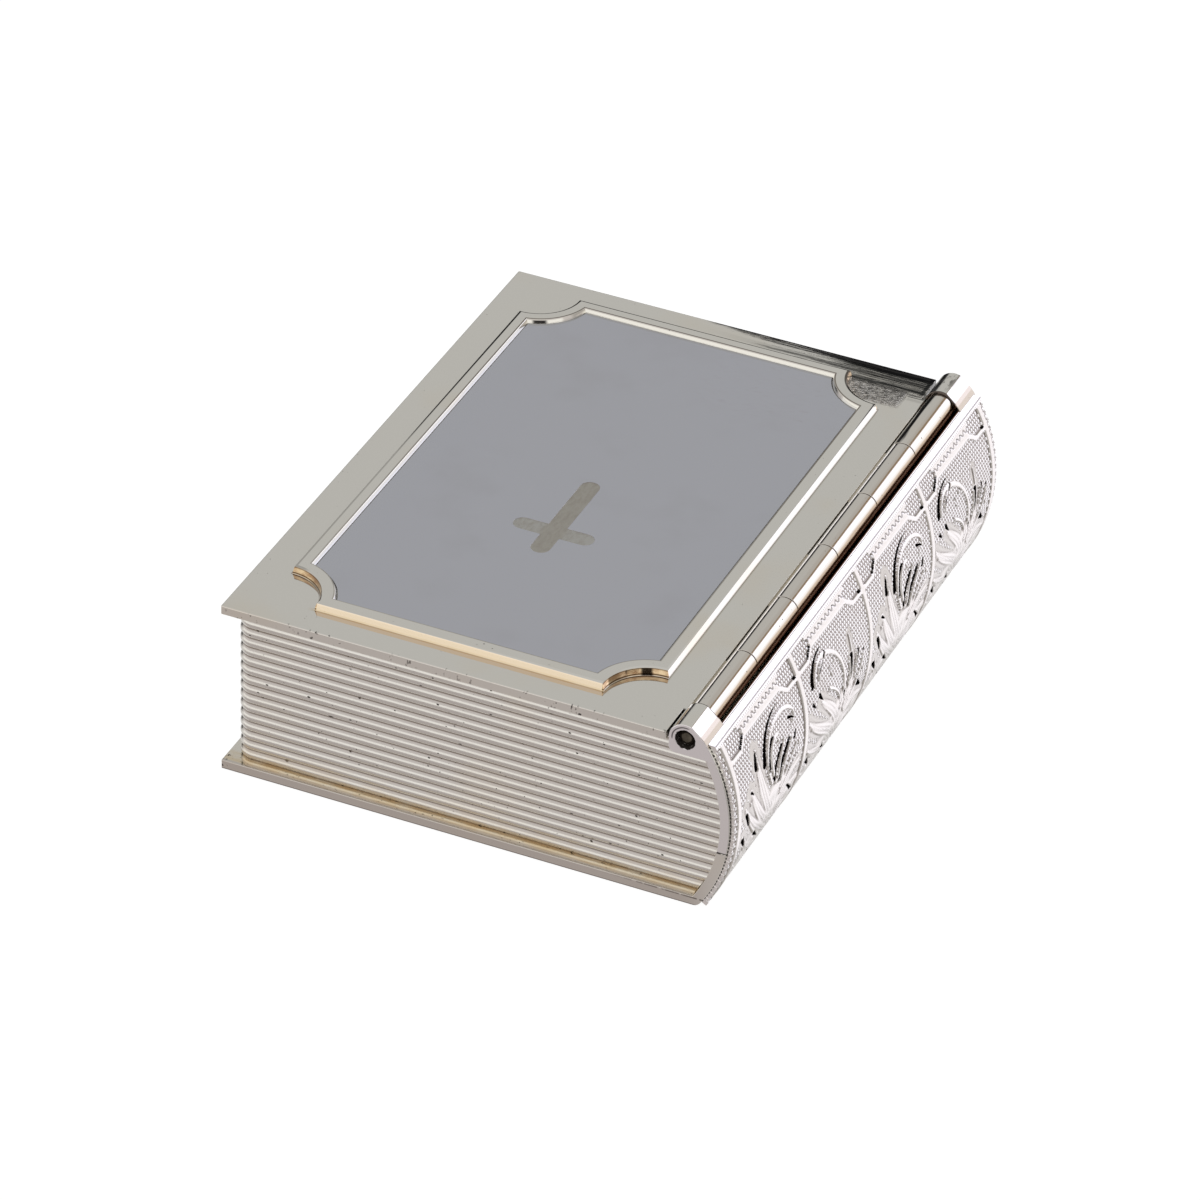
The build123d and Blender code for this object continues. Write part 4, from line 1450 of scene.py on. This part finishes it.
board.stain(seam * seam_breaks * 0.95, black_pits_and_shade)
front_face = board.under(y, -end_y + 0.3, -end_y + 0.4)
crack = board.between(z, cover_thickness - 0.2, cover_thickness - 0.08, 0.05) * board.step(x, 14, 22)
crack_breaks = board.step(board.noise(board.stretched(place, 1, 0, 0), 0.9, 3), 0.4, 0.5)
board.stain(crack * front_face * crack_breaks * 0.9, black_pits_and_shade)
near_face = front_face * board.under(x, 24, 28)
board.stain(near_face * 0.5, srgb(196, 186, 178))
left_end = board.under(x + board.noise(place, 1.4, 3) * 3, fore_x + 1.9, fore_x + 2.2)
left_marks = board.step(board.noise(place, 2.6, 4, 0.6), 0.55, 0.6) * left_end * board.under(y, -36.4, -35.6)
board.stain(left_marks * 0.9, black_pits_and_shade)
bottom_line = board.under(z, 0.09, 0.2)
board.stain(bottom_line * 0.85, srgb(92, 76, 66))
board.metal(rough, 1 - pits * 0.8)
fit(back_cover, "back_cover", "box", board_finish)

# %% [markdown]
# ### The shell
# The shell's cut ends are bright. The gap round the hinge's barrel is brown from tarnish and from its
# painted shade, and the mouth of the bore is black. The far ear's cap is mottled dark as a painted
# reflection. How far a point is from the pin or from the spine's axis says where it lies on this piece,
# because every edge of it is a circle about one of the two.

# %% Spine shell finish
shell_finish, shell = new_finish("shell_silver")
place = shell.place()
x, y, z = shell.axes(place)
rough, pits = plated(shell, place, silver, 0.09, pit_share=0.12)
end_face = shell.step(y.absolute(), end_y - 0.06, end_y - 0.02)
shell.stain(end_face * 0.9, srgb(254, 252, 255))
wedge = shell.step(y.absolute(), end_y - ear_width - 0.1, end_y - ear_width) * shell.between(
    x, hinge_x + 1.75, hinge_x + 2.6, 0.1) * (1 - end_face)
shell.stain(wedge * 0.7, srgb(196, 180, 162))
seam = shell.under(z, curl_height + 0.05, curl_height + 0.14)
shell.stain(seam * shell.step(shell.noise(place, 1.7, 2), 0.42, 0.55), black_pits_and_shade)
from_pin = shell.from_line(place, hinge_x, hinge_z)
ragged = (shell.noise(place, 2.2, 2) - 0.5) * 0.35
from_spine_axis = shell.from_line(place, *spine_axis)
between_ears = shell.under(y.absolute(), end_y - ear_width - 0.05, end_y - ear_width)
# Tarnish and painted shade: the band's inside and the gap round the barrel are brown and not metallic.
inside = shell.under(from_spine_axis, inner_radius + 0.3, inner_radius + 0.7).wider(
    shell.under(from_pin, lip_clearance + 0.1, lip_clearance + 0.2)) * between_ears
shell.stain(inside, gap_shade_brown)
ear_inner_rim = shell.between(y.absolute(), end_y - ear_width - 0.1, end_y - ear_width + 0.12, 0.06) * (
    shell.under(x, hinge_x + 1.7, hinge_x + 1.9))
shell.stain(ear_inner_rim * 0.85, srgb(66, 46, 38))
above_mouth = shell.between(from_pin + ragged * 0.3, 1.42, 1.52, 0.06) * end_face * shell.step(
    (z - hinge_z) - (x - hinge_x) * 0.9, 0.9, 1.3)
shell.stain(above_mouth * 0.8, srgb(58, 52, 56))
lip_top = shell.step(z, lip_z - 0.05, lip_z - 0.01) * shell.under(x, hinge_x + 4, hinge_x + 5) * shell.step(
    x, hinge_x + 1.9, hinge_x + 2.0) * between_ears
lip_slope = (x - hinge_x) * lip_lean * lip_top
shell.bend(lip_slope, 1.0)
# Painted reflection: dark mottling on the far ear's cap for reflections on its dome.
cap = shell.step(y, end_y - ear_width, end_y - 2) * shell.step(z, hinge_z + 0.5, hinge_z + 1.2) * (
    shell.under(x, hinge_x + 0.2, hinge_x + 1.0))
cap_reflection = shell.step(shell.noise(shell.stretched(place, 1, 0.5, 1), 1.3, 4, 0.6), 0.44, 0.56)
shell.stain(cap * cap_reflection * 0.75, srgb(88, 82, 76))
mouth = shell.under(from_pin + ragged, ear_mouth_radius + 0.02, ear_mouth_radius + 0.08)
shell.stain(mouth * 0.97, black_pits_and_shade)
shell.metal(rough + mouth * 0.5, (1 - pits * 0.8) * (1 - mouth.wider(inside)))
fit(spine_shell, "spine_shell", "box", shell_finish)

# %% [markdown]
# ### The reeds
# Rolled reeding is brightest on its crests, where hands rub it, and duller in its grooves, which are also
# painted darker as shade. The groove mask comes from the height alone: the distance to the nearest multiple
# of the pitch.

# %% Reed finish
reed_finish, reed = new_finish("reed_silver")
place = reed.place()
x, y, z = reed.axes(place)
rough, pits = plated(reed, place, srgb(232, 230, 225), 0.17, film=0.15,
                     pit_share=0.4, pit_size=1.1, pit_radius=0.11)
round_pages = reed.node("CombineXYZ", None, {0: (x + y) * 0.55, 1: z, 2: 0.0})
blots = reed.specks(round_pages, 1.4, 0.16, 0.15)
fine_blots = reed.specks(round_pages, 0.55, 0.16, 0.09)
blots = blots.wider(fine_blots)
reed.stain(blots * 0.95, black_pits_and_shade)
pits = pits.wider(blots)
pitches_up = (z - pages_low[2]) * (1 / reed_pitch)
from_groove = pitches_up.sum_with("PINGPONG", pitches_up, 0.5)
below_strip = reed.under(z, pages_high[2] - top_strip - 0.05, pages_high[2] - top_strip + 0.05)
# Painted shade: the grooves are darkened, and later made rougher.
groove_shade = reed.under(from_groove, 0.03, 0.1) * below_strip
reed.stain(groove_shade * 0.7, srgb(140, 124, 112))
low_down = reed.under(z, pages_low[2] + 0.5, pages_low[2] + 3.2)
stained = low_down * reed.step(reed.noise(reed.stretched(place, 0.3, 1, 1.4), 0.8, 3), 0.38, 0.62)
reed.stain(stained * 0.22, gold_stain_and_reflection)
drawn = reed.noise(reed.stretched(place, 0.12, 0.12, 2.5), 2.6, 3)
rough = rough + groove_shade * 0.12 + drawn * 0.08
reed.bend(drawn, 0.004)
reed.metal(rough, 1 - pits * 0.8)
fit(page_block, "page_block", "box", reed_finish)

# %% [markdown]
# ### The engraving plate
# The plate is chromed rather than silvered, so it is cooler and a little darker than the covers. It
# carries the faint hairlines and smudges of handling. The etched cross is frosted: rougher and a little
# warmer.

# %% Engraving plate finish
plate_finish, chrome = new_finish("engraving_chrome")
place = chrome.place()
x, y, z = chrome.axes(place)
cool = srgb(204, 206, 214)
smudge = chrome.step(chrome.noise(place, 0.11, 3), 0.5, 0.72)
chrome.colour = chrome.blend(smudge * 0.35, cool, srgb(196, 197, 203))
worn_patch = box_mask(chrome, x, y, (0, 22), (15, 31), 4.0)
speckle = chrome.step(chrome.noise(chrome.stretched(place, 0.5, 1.6, 1), 1.6, 5, 0.7), 0.52, 0.7)
chrome.stain(worn_patch * speckle * 0.14, srgb(186, 178, 182))
hairlines = chrome.step(chrome.noise(chrome.stretched(place, 3.2, 0.12, 1), 1.4, 2), 0.68, 0.73)
hair_patch = chrome.step(chrome.noise(place, 0.13, 1), 0.55, 0.66)
chrome.stain(hairlines * hair_patch * 0.25, srgb(222, 222, 226))
frosted = chrome.under(z, plate_high[2] - 0.035, plate_high[2] - 0.012)
frosted = frosted * chrome.step(z, plate_high[2] - 0.12, plate_high[2] - 0.08)
etched = chrome.noise(place, 5.0, 3, 0.7)
from_upright = (x - plate_middle[0]).absolute()
arm = chrome.step(from_upright, cross_bar_width / 2 - 0.1, cross_bar_width / 2 + 0.5)
cross_tone = chrome.blend(arm, srgb(190, 186, 174), srgb(200, 199, 192))
brushed = chrome.noise(chrome.stretched(place, 1, 0.35, 1), 2.6, 4, 0.7)
cross_tone = chrome.blend(chrome.step(brushed, 0.4, 0.66) * 0.55, cross_tone, srgb(168, 160, 146))
chrome.stain(frosted * (etched * 0.5 + 0.6), cross_tone)
rough = smudge * 0.03 + speckle * worn_patch * 0.08 + 0.1 + frosted * 0.3
chrome.bend(etched * frosted, 0.03)
chrome.bend(chrome.noise(place, 0.14, 1), 0.006)
chrome.metal(rough)
fit(engraving_plate, "engraving_plate", "lid", plate_finish)

# %% [markdown]
# ### The embossed plate
# Its raised parts are bright, its ground is a little greyer, and the deepest cuts are black. Crests are
# painted whiter as highlights, hollows darker as tarnish and painted shade, and each dot of the ground is
# painted white on top and grey round it, a painted highlight and shade. The height field left five values on
# every point of
# the mesh: how high it stands, how black it is, and whether it lies on the ground of dots, in a hollow or on
# a crest. The finish only has to read them.

# %% Embossed finish
embossed_finish, embossed = new_finish("embossed_silver")
place = embossed.place()
x, y, z = embossed.axes(place)
cut, raised, ground, hollow_shade_and_tarnish, crest_highlight = (
    embossed.node("Attribute", {"attribute_name": name}, output="Fac")
    for name in ("blackened", "relief", "dotted", "hollow", "crest"))
turn = (z - spine_axis[1]).turn_with(x - spine_axis[0])
down = (panel_turn_top - turn) * skin_radius
turns_along = (y - panel_low[1]) * (2 * math.pi / dot_pitch_along)
turns_down = down * (2 * math.pi / dot_pitch_down)
lattice = (turns_down * 2).cosine() + turns_along.cosine() * turns_down.cosine() * 2
dot = embossed.step(lattice, -1.25, -0.1)
low_parts = embossed.under(raised, 0.1, 0.6) * (1 - ground)
embossed.colour = embossed.blend(low_parts * 0.9, srgb(236, 231, 226), srgb(192, 187, 179))
# Painted highlight: the crests are whitened.
embossed.stain(crest_highlight * 0.85, srgb(250, 247, 245))
# Tarnish and painted shade: the hollows are darkened.
embossed.stain(embossed.step(hollow_shade_and_tarnish, 0.1, 0.8) * (1 - ground) * 0.8, srgb(134, 124, 120))
# Painted highlight and shade: each dot is white on top and grey round it.
embossed.stain(ground, embossed.blend(dot, srgb(168, 157, 152), srgb(254, 253, 252)))
dusty = embossed.step(embossed.noise(place, 0.5, 4), 0.5, 0.75)
embossed.stain(ground * dusty * 0.2, srgb(182, 170, 160))
above = embossed.under(down, border_height - 0.1, border_height)
bright_border = above * (1 - embossed.between(down, 0.40, 0.50, 0.06) * embossed.step(
    (turns_along * (4 / 3)).cosine(), -0.2, 0.5) * 0.55)
embossed.stain(above, embossed.blend(bright_border, srgb(128, 112, 112), bright_silver))
edge_line = embossed.between(down, 0.08, 0.14, 0.05)
embossed.stain(edge_line * 0.7, srgb(96, 78, 84))
from_spine_axis = embossed.from_line(place, *spine_axis)
end_seam = embossed.step(y.absolute(), panel_high[1] - 0.07, panel_high[1] - 0.03)
embossed.stain(end_seam * 0.9, bright_silver)
end_seam = end_seam * embossed.under(from_spine_axis, spine_radius + 0.05, spine_radius + 0.12)
beading = embossed.step((turns_down * 2).cosine() * 0.5 + embossed.noise(place, 2.6, 2), 0.2, 0.5) * 0.9
black = embossed.step(cut, 0.2, 0.5).wider(end_seam * beading)
embossed.stain(black, srgb(12, 9, 9))
grit = embossed.noise(place, 4.0, 3)
embossed.bend(grit, 0.006)
embossed.bend(dot * ground, 0.05)
lip_top = embossed.step(z, lip_z - 0.03, lip_z - 0.005)
embossed.bend((x - hinge_x) * lip_lean * lip_top, 1.0)
embossed.metal(grit * 0.1 + 0.16 + black * 0.4, 1 - black)
fit(spine_panel, "spine_panel", "box", embossed_finish)

# %% [markdown]
# ### The hinge
# The barrel is polished bright. Tan and brown bands round it are painted reflections of the groove below it
# and of the light's brown edge, and a dark streak on the far knuckle is a painted reflection of the dark
# ear. The gap beside the barrel and the leaf in it are painted brown, for tarnish and shade. The angle round
# the pin places each band.

# %% Hinge finish
hinge_finish, hinge = new_finish("hinge_silver")
place = hinge.place()
x, y, z = hinge.axes(place)
rough, pits = plated(hinge, place, srgb(238, 234, 226), 0.05, pit_share=0.4, pit_size=1.0)
barrel_turn = (z - hinge_z).turn_with(x - hinge_x) * (180 / math.pi)
drawn = hinge.noise(hinge.stretched(place, 1, 0.12, 1), 1.1, 3)
lid_side = hinge.step(barrel_turn + drawn * 14, 70, 104) * hinge.under(barrel_turn, 150, 170)
hinge.stain(lid_side * 0.15, srgb(206, 198, 188))
# Painted reflection: a tan band for the light's brown edge.
tan_reflection = hinge.between(barrel_turn + drawn * 10, 66, 78, 12)
hinge.stain(tan_reflection * 0.25, srgb(196, 176, 160))
# Painted reflection: a tan band low on the barrel for the groove below it.
low_reflection = hinge.between(barrel_turn + (drawn - 0.5) * 12, -60, 26, 10)
hinge.stain(low_reflection * 0.9, srgb(188, 166, 138))
# Painted reflection: a dark streak on the far knuckle for the dark ear.
far_reflection_streak = hinge.between(barrel_turn + (drawn - 0.5) * 40, 112, 128, 8) * hinge.step(y, 21, 24)
hinge.stain(far_reflection_streak * 0.9, srgb(40, 36, 32))
# Painted reflection: a fine brown line for the dark groove.
lower_reflection_line = hinge.between(barrel_turn + (drawn - 0.5) * 10, 12, 17, 3)
hinge.stain(lower_reflection_line * 0.7, painted_dark_brown)
# Tarnish and painted shade: the gap beside the barrel is brown and not metallic.
gap = hinge.between(barrel_turn + (drawn - 0.5) * 16, -60, -6, 12)
hinge.stain(gap, gap_shade_brown)
hinge.metal(rough + gap * 0.3, (1 - pits * 0.8) * (1 - gap))
fit(body_leaf, "body_hinge_leaf", "box", hinge_finish)
fit(lid_leaf, "lid_hinge_leaf", "lid", hinge_finish)

# %% [markdown]
# ### The pin
# Only the pin's end is seen, deep in the mouth of the bore. It is steel, dark from oil, with a black ring
# painted round its edge.

# %% Pin finish
pin_finish, steel = new_finish("pin_steel")
place = steel.place()
oily = steel.noise(place, 1.2, 4)
steel.colour = steel.blend(oily, srgb(64, 60, 52), srgb(130, 124, 112))
uneven = (steel.noise(place, 2.4, 2) - 0.5) * 0.3
# A black ring is painted round the edge of the pin's end.
rim = steel.step(steel.from_line(place, hinge_x, hinge_z) + uneven, 0.5, 0.62)
steel.stain(rim * 0.95, black_pits_and_shade)
steel.bend(oily, 0.02)
steel.metal(oily * 0.2 + 0.3 + rim * 0.3, 1 - rim)
fit(hinge_pin, "hinge_pin", "box", pin_finish)

# %% [markdown]
# ### Velvet
# Velvet is a dense pile of fibres that stand up. It looks dark from straight on and pale at a glancing
# angle, which the sheen of the shader gives. The pile leans in patches where it has been stroked.

# %% Velvet finish and the six cards
velvet_finish, velvet = new_finish("blue_velvet")
place = velvet.place()
stroked = velvet.noise(place, 0.22, 3)
pile = velvet.noise(place, 9.0, 2)
velvet.colour = velvet.blend(velvet.step(stroked, 0.35, 0.7), srgb(22, 30, 72), srgb(36, 48, 104))
velvet.stain(pile * 0.4, srgb(14, 18, 48))
velvet.bend(pile, 0.12)
cloth = velvet.node("BsdfPrincipled", None, {
    "Base Color": velvet.colour, "Roughness": 0.95, "Normal": velvet.normal, "Sheen Weight": 0.8,
    "Sheen Roughness": 0.35, "Sheen Tint": (0.45, 0.5, 0.8), "Specular IOR Level": 0.1})
velvet.node("OutputMaterial", None, {"Surface": cloth})

velvet_cards = [("head_lining", 1, 1), ("tail_lining", 1, -1), ("fore_edge_lining", 0, 1),
                ("spine_lining", 0, -1), ("floor_pad", 2, 1), ("lid_pad", 2, -1)]
for node, axis, sign in velvet_cards:
    body = "lid" if node == "lid_pad" else "box"
    velvet_card(node + "_velvet", node, body, (axis, sign), 1.6 if axis == 2 else 0.8, velvet_finish)

# %% [markdown]
